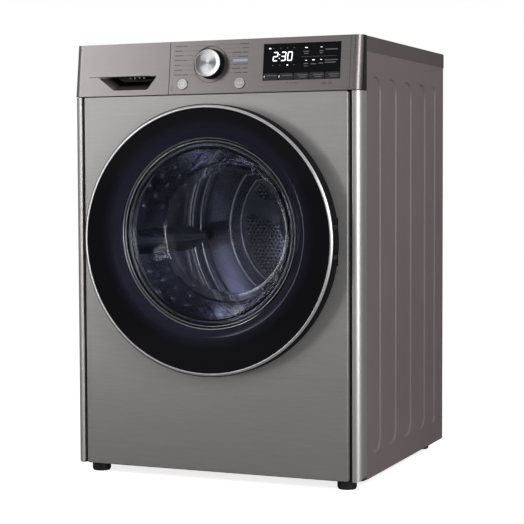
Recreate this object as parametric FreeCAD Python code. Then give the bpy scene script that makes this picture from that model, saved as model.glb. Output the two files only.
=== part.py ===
"""Front-loading heat-pump clothes dryer, built as an assembly of separate sub-parts.

Frame: +Z up, the front faces -Y, origin on the floor under the centre of the bounding box.
Millimetres.  Each sub-part is written to parts/NODE.step.
"""
import FreeCAD
import Part
import math
import os

V = FreeCAD.Vector

# ---------------------------------------------------------------- driving dimensions
WIDTH = 600.0              # over the side panels
HEIGHT = 850.0             # floor to worktop
CABINET_DEPTH = 550.0      # front sheet to rear panel
DOOR_PROUD = 35.0          # door trim ring in front of the front sheet
REAR_BULGE = 40.0          # rear duct cover behind the rear panel
FOOT_GAP = 18.0            # floor to underside of the cabinet
SHEET = 1.0                # cabinet sheet steel
PRESSING = 1.2             # bulkhead pressings
MOULDING = 2.5             # plastic mouldings
TOP_WALL = 1.5             # worktop pressing
GAP = 0.5                  # gap between trim pieces that meet
SLIP = 0.3                 # gap between pieces that move past each other

TOP_SKIRT = 30.0           # height of the worktop's edge
TOP_OVERHANG = 6.0         # worktop past the rear panel
FASCIA_HEIGHT = 102.0      # control strip
FASCIA_LEAN = 13.0         # how far its top leans back
CORNER_R = 15.0            # front vertical corners
FRONT_DEPTH = 37.0         # front corner assembly, along Y
GROOVE = 7.0               # shadow gap beside the front sheet
SHEET_PROUD = 3.0          # front sheet in front of the corner trims
CORNER_FACE = 2.0          # flat face of the corner trim before its round

DOOR_R = 260.0
DOOR_Z = 467.0
DRUM_Z = 480.0             # drum axis, door bowl and opening centre
TUNNEL_INSET = 74.0        # loading tunnel inside the door's edge
DRUM_R = 280.0             # outside of the drum shell
DRUM_WALL = 1.0
FELT = 4.0                 # felt strip between bulkhead ledge and drum
FRONT_BULKHEAD_Y = 40.0    # front sheet to the front bulkhead plate
REAR_BULKHEAD_Y = 512.0    # front sheet to the rear bulkhead plate
PLATE_BOTTOM = 130.0       # lower edge of both bulkhead plates
LEDGE = 20.0               # bulkhead ledge that carries the felt
DRUM_END_GAP = 5.0         # drum end to bulkhead plate
ROLLER_R = 35.0
ROLLER_WIDTH = 18.0
ROLLER_ANGLE = 32.0        # either side of straight down
AXLE_R = 5.0
BELT_Y = 300.0
BELT_WIDTH = 12.0
BELT_THICK = 3.0
PULLEY_R = 9.0
IDLER_R = 14.0
MOTOR_X, MOTOR_Z, MOTOR_R = 165.0, 112.0, 55.0
SHAFT_R = 6.0
WHEEL_R = 78.0             # blower wheel
WHEEL_DEPTH = 45.0
LIFTER_HEIGHT = 42.0
LIFTER_WIDTH = 64.0
LIFTER_ANGLES = (186.0, 66.0, 306.0)

DRAWER_SPLIT = -91.0       # x where the drawer front meets the control strip
SPLIT_GAP = 1.2
TANK_WALL = 2.5
TANK_LENGTH = 440.0
TRAY_DROP = 84.0           # worktop to underside of the tray
TANK_DROP = 18.0           # worktop to the tank's rim

DISPLAY_X = (104.5, 259.5)
DISPLAY_DROP = (81.0, 11.5)                # worktop to the display's lower and upper edges
KNOB_X, KNOB_DROP = -4.0, 45.7
KNOB_R = 27.0
KNOB_FLARE = 2.0
KNOB_PROUD = 17.0
KNOB_DISH_R = 35.5
BUTTON_PLACES = {"power_button": (-61.5, 83.0), "start_button": (58.1, 84.0)}     # x, drop from the worktop
BUTTON_R = 10.5
BUTTON_PROUD = 2.0
BUTTON_TRAVEL = 1.5

HINGE_INSET = 8.0          # hinge axis inside the door's edge
HINGE_OUT = 20.0           # hinge axis in front of the front sheet
HINGE_PIN_R = 2.5
LUG_R = 5.0
BARREL_R = 3.8
LUG_NEAR, LUG_FAR = 24.0, 32.0   # each lug's span above and below the hinge centre
DOOR_CLEAR = 3.0           # door's rear plane in front of the front sheet

FOOT_R = 18.0
FOOT_INSET = 38.0          # foot inside the side panel
FOOT_Y = (34.0, 508.0)
STUD_R = 5.0
FLUTE_REARS = (122.0, 220.5, 319.0, 417.5)   # rear edge of each wide flute, from the front sheet
FLUTE_WIDTH = 62.0
FLUTE_DEPTH = 2.5
FLUTE_BOTTOM, FLUTE_DROP = 62.0, 74.0

# ---------------------------------------------------------------- derived places
Y0 = DOOR_PROUD - (DOOR_PROUD + CABINET_DEPTH + REAR_BULGE) / 2     # front sheet plane
Y_BACK = Y0 + CABINET_DEPTH
HALF = WIDTH / 2
FOOT_X = HALF - FOOT_INSET
HINGE_X = DOOR_R - HINGE_INSET
OPENING_R = DOOR_R - TUNNEL_INSET           # inside of the loading tunnel
Z_BOTTOM = FOOT_GAP
Z_SKIRT = HEIGHT - TOP_SKIRT
Z_SPLIT = HEIGHT - FASCIA_HEIGHT
SHEET_HALF = HALF - CORNER_R - CORNER_FACE - GROOVE
KNOB_Z = HEIGHT - KNOB_DROP
DISPLAY = (*DISPLAY_X, HEIGHT - DISPLAY_DROP[0], HEIGHT - DISPLAY_DROP[1])     # x0, x1, z0, z1
BUTTONS = {name: (x, HEIGHT - drop) for name, (x, drop) in BUTTON_PLACES.items()}
TRAY_Z = HEIGHT - TRAY_DROP
TANK_TOP = HEIGHT - TANK_DROP
FLUTE_Z = (FLUTE_BOTTOM, HEIGHT - FLUTE_DROP)
DRUM_IN = DRUM_R - DRUM_WALL
LEDGE_R = DRUM_IN - SLIP - FELT
FRONT_PLATE = Y0 + FRONT_BULKHEAD_Y
REAR_PLATE = Y0 + REAR_BULKHEAD_Y
FRAME_Y = Y0 + 12.0                         # black frame behind the front sheet
FRAME_BACK = FRAME_Y + 1.2
DRUM_FRONT = FRONT_PLATE + PRESSING + DRUM_END_GAP
DRUM_BACK = REAR_PLATE - DRUM_END_GAP
BOWL_SEAT = 12.0                            # bowl flange in front of the front sheet
BOWL_FLANGE = 4.0
CARRIER = BOWL_SEAT + BOWL_FLANGE           # door frame's inner shelf
TRIM_BACK = DOOR_PROUD - 6.0
PULLEY_BACK = Y0 + BELT_Y + BELT_WIDTH / 2 + 4
LEAN = math.atan2(FASCIA_LEAN, FASCIA_HEIGHT)
IDLER_X, IDLER_Z = MOTOR_X - 62.0, MOTOR_Z - 22.0
ARM_X, ARM_Z = IDLER_X - 58.0, IDLER_Z - 20.0


# ---------------------------------------------------------------- shape helpers
def box(x0, x1, y0, y1, z0, z1):
    return Part.makeBox(x1 - x0, y1 - y0, z1 - z0, V(x0, y0, z0))


def rod(r, p, q):
    p, q = V(*p), V(*q)
    return Part.makeCylinder(r, (q - p).Length, p, q - p)


def disc(r, x, z, y0, y1):
    """A cylinder along Y."""
    return rod(r, (x, y0, z), (x, y1, z))


def ring(r_out, r_in, x, z, y0, y1):
    return disc(r_out, x, z, y0, y1).cut(disc(r_in, x, z, y0 - 1, y1 + 1))


def upright(r, x, y, z0, z1):
    return rod(r, (x, y, z0), (x, y, z1))


def rounded(points, radii):
    """A closed wire through points whose corners are rounded to radii (one value, or one each)."""
    count = len(points)
    if not hasattr(radii, "__len__"):
        radii = [radii] * count
    starts, ends, edges = [], [], []
    for i in range(count):
        here = points[i]
        back = (points[i - 1] - here).normalize()
        on = (points[(i + 1) % count] - here).normalize()
        half = back.getAngle(on) / 2
        reach = radii[i] / math.tan(half) if radii[i] else 0.0
        starts.append(here + back * reach)
        ends.append(here + on * reach)
        if reach:
            middle = (back + on).normalize()
            mid = here + middle * (radii[i] / math.sin(half) - radii[i])
            edges.append(Part.Arc(starts[i], mid, ends[i]).toShape())
    for i in range(count):
        nxt = (i + 1) % count
        if (starts[nxt] - ends[i]).Length > 1e-6:
            edges.append(Part.LineSegment(ends[i], starts[nxt]).toShape())
    return Part.Wire(Part.__sortEdges__(edges))


def slab(points, radii, direction):
    """The face inside a rounded outline, pushed along direction."""
    return Part.Face(rounded(points, radii)).extrude(direction)


def panel_xz(x0, x1, z0, z1, y0, y1, r):
    points = [V(x0, y0, z0), V(x1, y0, z0), V(x1, y0, z1), V(x0, y0, z1)]
    return slab(points, r, V(0, y1 - y0, 0))


def section_xy(points, radii, z0, z1):
    return slab([V(x, y, z0) for x, y in points], radii, V(0, 0, z1 - z0))


def turned(profile, x, z, radii=0.0):
    """Revolves (radius, y) points about the line through (x, z) along Y."""
    face = Part.Face(rounded([V(x + r, y, z) for r, y in profile], radii))
    return face.revolve(V(x, 0, z), V(0, 1, 0), 360)


def fuse(*shapes):
    return shapes[0].multiFuse(list(shapes[1:])).removeSplitter()


def mirrored(shape):
    return shape.mirror(V(0, 0, 0), V(1, 0, 0))


def edges_where(shape, test):
    return [e for e in shape.Edges if test(e.valueAt((e.FirstParameter + e.LastParameter) / 2), e)]


def on_fascia(shape, x, z):
    """Moves a shape from local x, up-the-face, outward axes to the leaning control face at (x, z)."""
    up = (z - Z_SPLIT) / math.cos(LEAN)
    at = V(x, face_y(z), z)
    turn = FreeCAD.Rotation(V(1, 0, 0), 90 - math.degrees(LEAN))
    moved = shape.copy()
    moved.Placement = FreeCAD.Placement(at, turn).multiply(moved.Placement)
    return moved


def face_y(z):
    """The control face's y at height z."""
    return Y0 + 1.0 + FASCIA_LEAN * (z - Z_SPLIT) / FASCIA_HEIGHT


os.makedirs("parts", exist_ok=True)


def export(name, shape):
    solids = shape.Solids
    result = solids[0] if len(solids) == 1 else Part.makeCompound(solids)
    if not solids or not result.isValid():
        raise ValueError(name + " is not a valid solid")
    result.exportStep("parts/" + name + ".step")


# ---------------------------------------------------------------- cabinet shell
SIDE_SCREWS_Z = (90.0, 270.0, 450.0, 630.0, HEIGHT - 60.0)
REAR_SCREWS = [(side * (HALF - 8.0), z) for side in (-1, 1) for z in SIDE_SCREWS_Z]
TOP_SCREWS = [(side * 200.0, HEIGHT - TOP_SKIRT / 2) for side in (-1, 1)]
SCREW_R = 2.0
SCREW_HOLE = 2.3


def screw_holes(places, y0, y1):
    return Part.makeCompound([disc(SCREW_HOLE, x, z, y0, y1) for x, z in places])


def flute(grow, depth, rear, width):
    """A shallow pressed channel in the right side panel, its outline grown all round."""
    wires = []
    for inset, x in ((0.0, HALF + 0.01), (depth, HALF - depth)):
        y0, y1 = Y0 + rear - width - grow + inset, Y0 + rear + grow - inset
        z0, z1 = FLUTE_Z[0] - grow + inset, FLUTE_Z[1] + grow - inset
        corner = min(26.0, (y1 - y0) / 2 - 0.5)
        wires.append(rounded([V(x, y0, z0), V(x, y1, z0), V(x, y1, z1), V(x, y0, z1)], corner))
    return Part.makeLoft(wires, True, True)


def side_panel():
    y0, y1 = Y0 + FRONT_DEPTH + GAP, Y_BACK - SHEET - 0.1
    skin = box(HALF - SHEET, HALF, y0, y1, Z_BOTTOM, Z_SKIRT)
    front = box(HALF - 12, HALF - SHEET, y0, y0 + SHEET, 62, Z_SKIRT)
    rear = box(HALF - 16, HALF - SHEET, y1 - SHEET, y1, 62, Z_SKIRT)
    top = box(HALF - 12, HALF - SHEET, y0 + SHEET, y1 - SHEET, Z_SKIRT - SHEET, Z_SKIRT)
    shape = fuse(skin, front, rear, top)
    channels = [(rear_edge, FLUTE_WIDTH) for rear_edge in FLUTE_REARS]
    channels.append((FLUTE_REARS[-1] + 73.0, 26.0))
    for rear_edge, width in channels:
        shape = shape.fuse(flute(SHEET, FLUTE_DEPTH + SHEET, rear_edge, width).common(
            box(HALF - 10, HALF, y0, y1, Z_BOTTOM, Z_SKIRT)))
    for rear_edge, width in channels:
        shape = shape.cut(flute(0.0, FLUTE_DEPTH, rear_edge, width))
    return shape.cut(screw_holes(REAR_SCREWS, y1 - 5, y1 + 5)).removeSplitter()


def top_plate():
    y0, y1 = Y0 + FRONT_DEPTH + GAP, Y_BACK + TOP_OVERHANG
    shape = box(-HALF, HALF, y0, y1, Z_SKIRT, HEIGHT)
    rim = edges_where(shape, lambda p, e: (abs(p.x) > HALF - 1 or p.y > y1 - 1)
                      and (p.z > HEIGHT - 1 or abs(p.z - HEIGHT + TOP_SKIRT / 2) < 1) and p.y > y0 + 1)
    shape = shape.makeFillet(3.0, rim)
    w = TOP_WALL
    hollow = box(-HALF + w, HALF - w, y0 - 1, y1 - w, Z_SKIRT - 1, HEIGHT - w)
    return shape.cut(hollow).cut(screw_holes(TOP_SCREWS, y1 - 5, y1 + 5))


def rear_panel():
    shape = box(-HALF + 0.2, HALF - 0.2, Y_BACK - SHEET, Y_BACK, Z_BOTTOM, Z_SKIRT - 1)
    shape = shape.cut(panel_xz(-222, 222, 128, 728, Y_BACK - 5, Y_BACK + 5, 55))
    slots = [panel_xz(x - 2.5, x + 2.5, 40, 92, Y_BACK - 5, Y_BACK + 5, 2.4)
             for side in (-1, 1) for x in [side * (110 + 14 * i) for i in range(9)]]
    shape = shape.cut(Part.makeCompound(slots))
    shape = shape.cut(disc(GLAND_BODY_R + 0.1, *GLAND_AT, Y_BACK - 5, Y_BACK + 5))
    shape = shape.cut(disc(SPIGOT_R + 0.1, *SPIGOT_AT, Y_BACK - 5, Y_BACK + 5))
    return shape.cut(screw_holes(REAR_SCREWS + COVER_SCREWS, Y_BACK - 5, Y_BACK + 5))


GLAND_AT = (250.0, HEIGHT - 75.0)
GLAND_BODY_R = 11.0
GLAND_BORE_R = 5.0
SPIGOT_AT = (-250.0, HEIGHT - 75.0)
SPIGOT_R = 9.0
SPIGOT_BORE_R = 6.5
COVER_SCREWS = [(x, z) for x in (-150.0, 0.0, 150.0) for z in (112.0, 744.0)]


def rear_duct_cover():
    """A pressed pan that closes the hot-air duct behind the drum, with a screw flange."""
    def pan(grow, y_far):
        wires = []
        for inset, y in ((0.0, Y_BACK - 0.01), (22.0, y_far)):
            half, low, high = 228 + grow - inset, 122 - grow + inset, 734 + grow - inset
            corners = [V(-half, y, low), V(half, y, low), V(half, y, high), V(-half, y, high)]
            wires.append(rounded(corners, 60))
        return Part.makeLoft(wires, True, True)

    flange = panel_xz(-246, 246, 104, 752, Y_BACK, Y_BACK + SHEET, 62)
    shape = flange.fuse(pan(0, Y_BACK + REAR_BULGE).common(
        box(-HALF, HALF, Y_BACK, Y_BACK + 200, 0, HEIGHT))).removeSplitter()
    shape = shape.cut(pan(-SHEET, Y_BACK + REAR_BULGE - SHEET))
    return shape.cut(screw_holes(COVER_SCREWS, Y_BACK - 5, Y_BACK + 5))


def screw(x, z, y, length=7.0):
    """Pan-head screw driven forwards, its head seated at y."""
    head = turned([(0.01, y + 2.8), (3.0, y + 2.8), (4.5, y + 1.4), (4.5, y), (0.01, y)], x, z)
    slot_a = box(x - 2.2, x + 2.2, y + 1.6, y + 4, z - 0.5, z + 0.5)
    slot_b = box(x - 0.5, x + 0.5, y + 1.6, y + 4, z - 2.2, z + 2.2)
    return head.fuse(disc(SCREW_R, x, z, y - length, y)).cut(slot_a).cut(slot_b).removeSplitter()


def cabinet_screws():
    heads = [screw(x, z, Y_BACK) for x, z in REAR_SCREWS]
    heads += [screw(x, z, Y_BACK + SHEET, 5.0) for x, z in COVER_SCREWS]
    heads += [screw(x, z, Y_BACK + TOP_OVERHANG) for x, z in TOP_SCREWS]
    return Part.makeCompound([s for h in heads for s in h.Solids])


def foot_places():
    return {"foot_front_left": (-FOOT_X, Y0 + FOOT_Y[0]), "foot_front_right": (FOOT_X, Y0 + FOOT_Y[0]),
            "foot_rear_left": (-FOOT_X, Y0 + FOOT_Y[1]), "foot_rear_right": (FOOT_X, Y0 + FOOT_Y[1])}


PAN_TOP = 60.0
PAN_WALL = 3.0
PAN_FLOOR = Z_BOTTOM + PAN_WALL
RIB_TOP = Z_BOTTOM + 18.0


def base_pan():
    """The moulded tray that carries the machinery, with a boss over each foot."""
    x, y0, y1, wall = HALF - TRIM_WALL, FRAME_BACK + GAP, Y_BACK - SHEET, PAN_WALL
    corners = [CORNER_R + 1.0, CORNER_R + 1.0, 3.5, 3.5]
    shape = section_xy([(-x, y0), (x, y0), (x, y1), (-x, y1)], corners, Z_BOTTOM, PAN_TOP)
    inner = [(-x + wall, y0 + wall), (x - wall, y0 + wall), (x - wall, y1 - wall), (-x + wall, y1 - wall)]
    shape = shape.cut(section_xy(inner, [c - wall for c in corners], Z_BOTTOM + wall, PAN_TOP + 1))
    ribs = [box(-x + 1, -18, Y0 + y, Y0 + y + wall, Z_BOTTOM + 1, RIB_TOP) for y in (130, 300)]
    ribs += [box(-20, x - 1, Y0 + 378, Y0 + 378 + wall, Z_BOTTOM + 1, RIB_TOP)]
    ribs += [box(-20, -20 + wall, y0 + 1, y1 - 1, Z_BOTTOM + 1, RIB_TOP)]
    bosses = [upright(14, fx, fy, Z_BOTTOM, 52) for fx, fy in foot_places().values()]
    shape = fuse(shape, *ribs, *bosses)
    for fx, fy in foot_places().values():
        shape = shape.cut(upright(STUD_R + SLIP, fx, fy, 0, PAN_TOP + 1))
    return shape


def foot(x, y):
    pad = Part.makeCone(FOOT_R - 1.5, FOOT_R, 3, V(x, y, 0)).fuse(upright(FOOT_R, x, y, 3, FOOT_GAP - 1))
    return fuse(pad, upright(STUD_R, x, y, FOOT_GAP - 2, 50))


# ---------------------------------------------------------------- front of the cabinet
def front_panel():
    z0, z1, depth = Z_BOTTOM + GAP, Z_SPLIT - 1.5, FRAME_Y - Y0 - 0.1
    shape = panel_xz(-SHEET_HALF, SHEET_HALF, z0, z1, Y0, Y0 + depth, 4)
    rim = edges_where(shape, lambda p, e: abs(p.y - Y0) < 0.01)
    shape = shape.makeFillet(2.0, rim)
    t = 1.2
    shape = shape.cut(panel_xz(-SHEET_HALF + t, SHEET_HALF - t, z0 + t, z1 - t, Y0 + t, FRAME_Y, 3))
    lip = ring(SHEET_OPENING_R + t, SHEET_OPENING_R, 0, DRUM_Z, Y0, Y0 + 8)
    shape = shape.fuse(lip).cut(disc(SHEET_OPENING_R, 0, DRUM_Z, Y0 - 1, Y0 + 20))
    shape = shape.cut(box(*LATCH_X, Y0 - 1, Y0 + 3, DOOR_Z - 9, DOOR_Z + 9))
    return shape.cut(screw_holes(HINGE_SCREWS, Y0 - 3, Y0 + 3)).removeSplitter()


SHEET_OPENING_R = OPENING_R + 18.0
LATCH_X = (-DOOR_R + 24.0, -DOOR_R + 43.0)
HINGE_SCREWS = [(HINGE_X - 13.0, DOOR_Z + side * 38.0) for side in (-1, 1)]


def front_frame():
    """Black steel frame that carries the front sheet, the corner trims and the latch."""
    x, z1 = HALF - 3.5, Z_SPLIT - 2.0
    shape = box(-x, x, FRAME_Y, FRAME_BACK, Z_BOTTOM + 2, z1)
    top = box(-x, x, FRAME_BACK - 0.2, Y0 + FRONT_DEPTH, z1 - 1.2, z1)
    side = box(x - 1.2, HALF - TRIM_WALL, Y0 + 20, Y0 + FRONT_DEPTH - 1, 62, z1)
    web = box(x - 1.2, x, FRAME_BACK - 0.2, Y0 + 21, 62, z1)
    rests = [box(x0, x0 + 20, FRAME_BACK - 0.2, Y0 + FRONT_DEPTH - 2, z1 - 1, Z_SPLIT)
             for x0 in (-80, HALF - 60)]
    shape = fuse(shape, top, side, web, mirrored(side), mirrored(web), *rests)
    shape = shape.cut(disc(OPENING_R + 4, 0, DRUM_Z, FRAME_Y - 1, FRAME_BACK + 1))
    return shape.removeSplitter()


TRIM_WALL = 1.5


def corner_trims():
    x_in, y_face, t = HALF - CORNER_R - CORNER_FACE, Y0 + SHEET_PROUD, TRIM_WALL
    y_back = Y0 + FRONT_DEPTH
    outer = section_xy([(x_in, y_face), (HALF, y_face), (HALF, y_back), (x_in, y_back)],
                       [0.8, CORNER_R, 0, 0], Z_BOTTOM, Z_SPLIT - 1.5)
    inside = [(x_in + t, y_face + t), (HALF - t, y_face + t), (HALF - t, y_back + 1), (x_in + t, y_back + 1)]
    inner = section_xy(inside, [0, CORNER_R - t, 0, 0], Z_BOTTOM - 1, HEIGHT)
    shape = outer.cut(inner).cut(box(x_in - 1, x_in + t + 0.1, FRAME_Y - 0.1, y_back + 1, 0, HEIGHT))
    corner = box(HALF - 10, HALF + 1, Y0 - 1, y_back + 1, Z_BOTTOM - 1, Z_BOTTOM + 10)
    corner = corner.cut(disc(10, HALF - 10, Z_BOTTOM + 10, Y0 - 2, y_back + 2))
    shape = shape.cut(corner)
    return Part.makeCompound([shape, mirrored(shape)])


def fascia_prism(grow):
    """The control strip's outer form, or the same shrunk by -grow with its back left open."""
    y_back = Y0 + FRONT_DEPTH + (0.0 if grow == 0 else 1.0)
    z0, z1 = Z_SPLIT - grow, HEIGHT + grow
    points = [(face_y(z0) - grow, z0), (face_y(z1) - grow, z1), (y_back, z1), (y_back, z0)]
    x = HALF + grow
    shape = Part.Face(rounded([V(-x, y, z) for y, z in points], 0)).extrude(V(2 * x, 0, 0))
    uprights = edges_where(shape, lambda p, e: abs(abs(p.x) - x) < 0.01 and p.y < Y0 + FASCIA_LEAN
                           and z0 + 1 < p.z < z1 - 1)
    return shape.makeFillet(CORNER_R + grow, uprights)


def fascia_shell(x0, x1):
    """The stretch of the control strip's shell from x0 to x1, walled off at the split."""
    whole = fascia_prism(0)
    stretch = box(x0, x1, Y0 - 50, Y_BACK, 0, 1000)
    shell = whole.cut(fascia_prism(-MOULDING)).common(stretch)
    wall_x = x0 if x0 > -HALF else x1 - MOULDING
    return shell.fuse(whole.common(box(wall_x, wall_x + MOULDING, Y0 - 50, Y_BACK, 0, 1000))).removeSplitter()


def control_fascia():
    shape = fascia_shell(DRAWER_SPLIT + SPLIT_GAP / 2, HALF)
    x0, x1, z0, z1 = DISPLAY
    rise = (z1 - z0) / math.cos(LEAN)
    shape = shape.cut(on_fascia(box(0, x1 - x0, 0, rise, -6, 6), x0, z0))
    shelf = box(-3, x1 - x0 + 3, -3, rise + 3, -5, -1.5)
    window = box(3, x1 - x0 - 3, 3, rise - 3, -9, 0)
    shape = shape.fuse(on_fascia(shelf.cut(window).cut(box(0, x1 - x0, 0, rise, -3.2, 0)), x0, z0))
    shape = shape.cut(on_fascia(Part.makeCylinder(KNOB_DISH_R, 5, V(0, 0, -0.8)), KNOB_X, KNOB_Z))
    shape = shape.cut(on_fascia(Part.makeCylinder(5, 20, V(0, 0, -10)), KNOB_X, KNOB_Z))
    for x, z in BUTTONS.values():
        shape = shape.cut(on_fascia(Part.makeCylinder(BUTTON_R + SLIP, 20, V(0, 0, -10)), x, z))
    groove = on_fascia(box(0, 3.2, -5, 120, -0.9, 5), SHEET_HALF + 1.5, Z_SPLIT)
    return shape.cut(groove).removeSplitter()


def display_window():
    x0, x1, z0, z1 = DISPLAY
    rise = (z1 - z0) / math.cos(LEAN)
    return on_fascia(box(0.15, x1 - x0 - 0.15, 0.15, rise - 0.15, -3.1, 0.2), x0, z0)


def control_board():
    """Circuit board behind the strip, with the encoder, the display module and two switches."""
    x0, x1, z0, z1 = DISPLAY
    y_face = -14.0
    board = box(-72, x1 + 14, -40, 38, y_face - 1.6, y_face)
    encoder = box(KNOB_X - 8, KNOB_X + 8, -8, 8, y_face - 0.1, y_face + 6)
    module = box(x0 + 6, x1 - 6, z0 - KNOB_Z + 6, z1 - KNOB_Z - 6, y_face - 0.1, -6)
    keys = [box(x - 4, x + 4, (z - KNOB_Z) - 4, (z - KNOB_Z) + 4, y_face - 0.1, y_face + 3)
            for x, z in BUTTONS.values()]
    inner_face = -MOULDING * math.cos(LEAN)
    posts = [Part.makeCylinder(3, inner_face - y_face, V(x, up, y_face))
             for x, up in ((-66, 28), (-36, -36), (x0 - 16, -30), (x1 + 8.5, -30), (x1 + 8.5, 32))]
    shape = fuse(board, encoder, module, *keys, *posts)
    shape = shape.cut(Part.makeCylinder(3.5, 6.2, V(KNOB_X, 0, y_face)))
    return on_fascia(shape, 0, KNOB_Z)


def selector_knob():
    """Turned body with a flared skirt and a spindle, and a thin dished metal cap."""
    def lathe(points, radii=0.0):
        face = Part.Face(rounded([V(r, 0, h) for r, h in points], radii))
        return face.revolve(V(0, 0, 0), V(0, 0, 1), 360)

    top = KNOB_PROUD - 1.2
    body = lathe([(0.01, -9.5), (2.8, -9.5), (2.8, 0.2), (KNOB_R + KNOB_FLARE, 0.2), (KNOB_R, top),
                  (0.01, top)])
    cap = lathe([(0.01, top), (KNOB_R - 0.6, top), (KNOB_R - 0.6, top + 0.7), (KNOB_R - 1.6, KNOB_PROUD),
                 (0.01, KNOB_PROUD - 0.5)])
    return on_fascia(body, KNOB_X, KNOB_Z), on_fascia(cap, KNOB_X, KNOB_Z)


def button(x, z):
    """Push button with a retaining flange behind the strip; it travels inwards."""
    crown = Part.makeCylinder(BUTTON_R, BUTTON_PROUD + 5, V(0, 0, -5))
    crown = crown.makeFillet(0.8, edges_where(crown, lambda p, e: p.z > BUTTON_PROUD - 0.01))
    flange = Part.makeCylinder(BUTTON_R + 1.5, 1.2, V(0, 0, -MOULDING - SLIP - 1.2))
    plunger = Part.makeCylinder(2.0, 4.4, V(0, 0, -9.2))
    return on_fascia(fuse(crown, flange, plunger), x, z)


# ---------------------------------------------------------------- condensate drawer
GRIP_TOP, GRIP_BOTTOM = Z_SPLIT + 37.0, Z_SPLIT + 8.0


def grip_scoop(grow):
    """The finger pocket in the drawer front: long slope at the left, steep at the right."""
    front = [(-258, GRIP_TOP), (-213, GRIP_BOTTOM), (-137, GRIP_BOTTOM), (-114, GRIP_TOP)]
    rear = [(-216, GRIP_TOP), (-200, GRIP_TOP - 9), (-142, GRIP_TOP - 9), (-126, GRIP_TOP)]
    centre_x, depth = -180.0, 26.0 + grow
    wires = []
    for points, y in ((front, Y0 - 1.0), (rear, Y0 + depth)):
        spread = []
        for x, z in points:
            out = grow if x > centre_x else -grow
            spread.append(V(x + out, y, z + (grow if z == GRIP_TOP else -grow)))
        wires.append(rounded(spread, [1.5, 6, 6, 1.5]))
    return Part.makeLoft(wires, True, True)


def drawer_front():
    x1 = DRAWER_SPLIT - SPLIT_GAP / 2
    shape = fascia_shell(-HALF, x1)
    body = fascia_prism(0).common(box(-HALF, x1, Y0 - 50, Y_BACK, 0, 1000))
    finger = (-212.0, -130.0, Y0 + 12.0, Y0 + 26.0, GRIP_TOP - 1, GRIP_TOP + 12)
    catch = box(*finger)
    x0, x2, y0, y2, z0, z2 = finger
    catch_wall = box(x0 - 2, x2 + 2, y0 - 2, y2 + 2, z0, z2 + 2)
    lugs = [box(x, x + 12, y2 + 1, Y0 + FRONT_DEPTH, z0 - 3, z2) for x in (x0 + 4, x2 - 16)]
    shape = fuse(shape, grip_scoop(2.0).common(body), catch_wall, *lugs).cut(grip_scoop(0.0)).cut(catch)
    return shape.removeSplitter()


TANK_X = (-HALF + 22.0, DRAWER_SPLIT - 9.0)
TANK_Y = (Y0 + FRONT_DEPTH, Y0 + FRONT_DEPTH + TANK_LENGTH)
TANK_Z = (TRAY_Z + 4.0, TANK_TOP)
FILL_AT = ((TANK_X[0] + TANK_X[1]) / 2 - 4.0, TANK_Y[1] - 42.0)
FILL_R = 18.0
POUR_AT = (TANK_X[0] + 16.0, TANK_Y[0] + 30.0)
POUR_R = 12.0


def water_tank():
    x0, x1 = TANK_X
    y0, y1 = TANK_Y
    z0, z1 = TANK_Z
    shape = section_xy([(x0, y0), (x1, y0), (x1, y1), (x0, y1)], [6, 6, 20, 20], z0, z1)
    w = TANK_WALL
    hollow = section_xy([(x0 + w, y0 + w), (x1 - w, y0 + w), (x1 - w, y1 - w), (x0 + w, y1 - w)],
                        [4, 4, 18, 18], z0 + w, z1 + 1)
    return shape.cut(hollow)


def tank_lid():
    x0, x1 = TANK_X
    y0, y1 = TANK_Y
    z1 = TANK_Z[1]
    shape = section_xy([(x0, y0), (x1, y0), (x1, y1), (x0, y1)], [6, 6, 20, 20], z1, z1 + 2)
    shape = fuse(shape, upright(POUR_R + 2, *POUR_AT, z1 + 1, z1 + 6))
    return shape.cut(upright(FILL_R, *FILL_AT, z1 - 1, z1 + 8)).cut(upright(POUR_R, *POUR_AT, z1 - 1, z1 + 8))


def tank_tray():
    x0, x1 = TANK_X[0] - 6, TANK_X[1] + 6
    y0, y1, w = TANK_Y[0] + 1.5, REAR_PLATE + PRESSING, 2.0
    shape = box(x0, x1, y0, y1, TRAY_Z, TANK_TOP - 4)
    shape = shape.cut(box(x0 + w, x1 - w, y0 - 1, y1 - w, TRAY_Z + w, HEIGHT))
    runners = [box(x, x + 6, y0, y1 - w, TRAY_Z + w - 0.5, TRAY_Z + 4 - 0.3) for x in (x0 + 24, x1 - 30)]
    return fuse(shape, *runners)


# ---------------------------------------------------------------- loading opening and drum
FILTER_X = OPENING_R - 81.0
DUCT_TOP = DRUM_Z + 41.0 - OPENING_R
FILTER_Z = 150.0
FILTER_SLOTS = 6


def door_seal():
    r = OPENING_R
    lip = Y0 - DOOR_CLEAR + 0.5
    profile = [(r + 2, FRAME_Y - 0.1), (r + 16.5, FRAME_Y - 0.1), (r + 16.5, Y0 + 3), (r + 13, lip),
               (r + 8, lip), (r + 2, Y0 + 4)]
    return turned(profile, 0, DRUM_Z, [0.5, 0.5, 2, 2, 2, 2])


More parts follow.
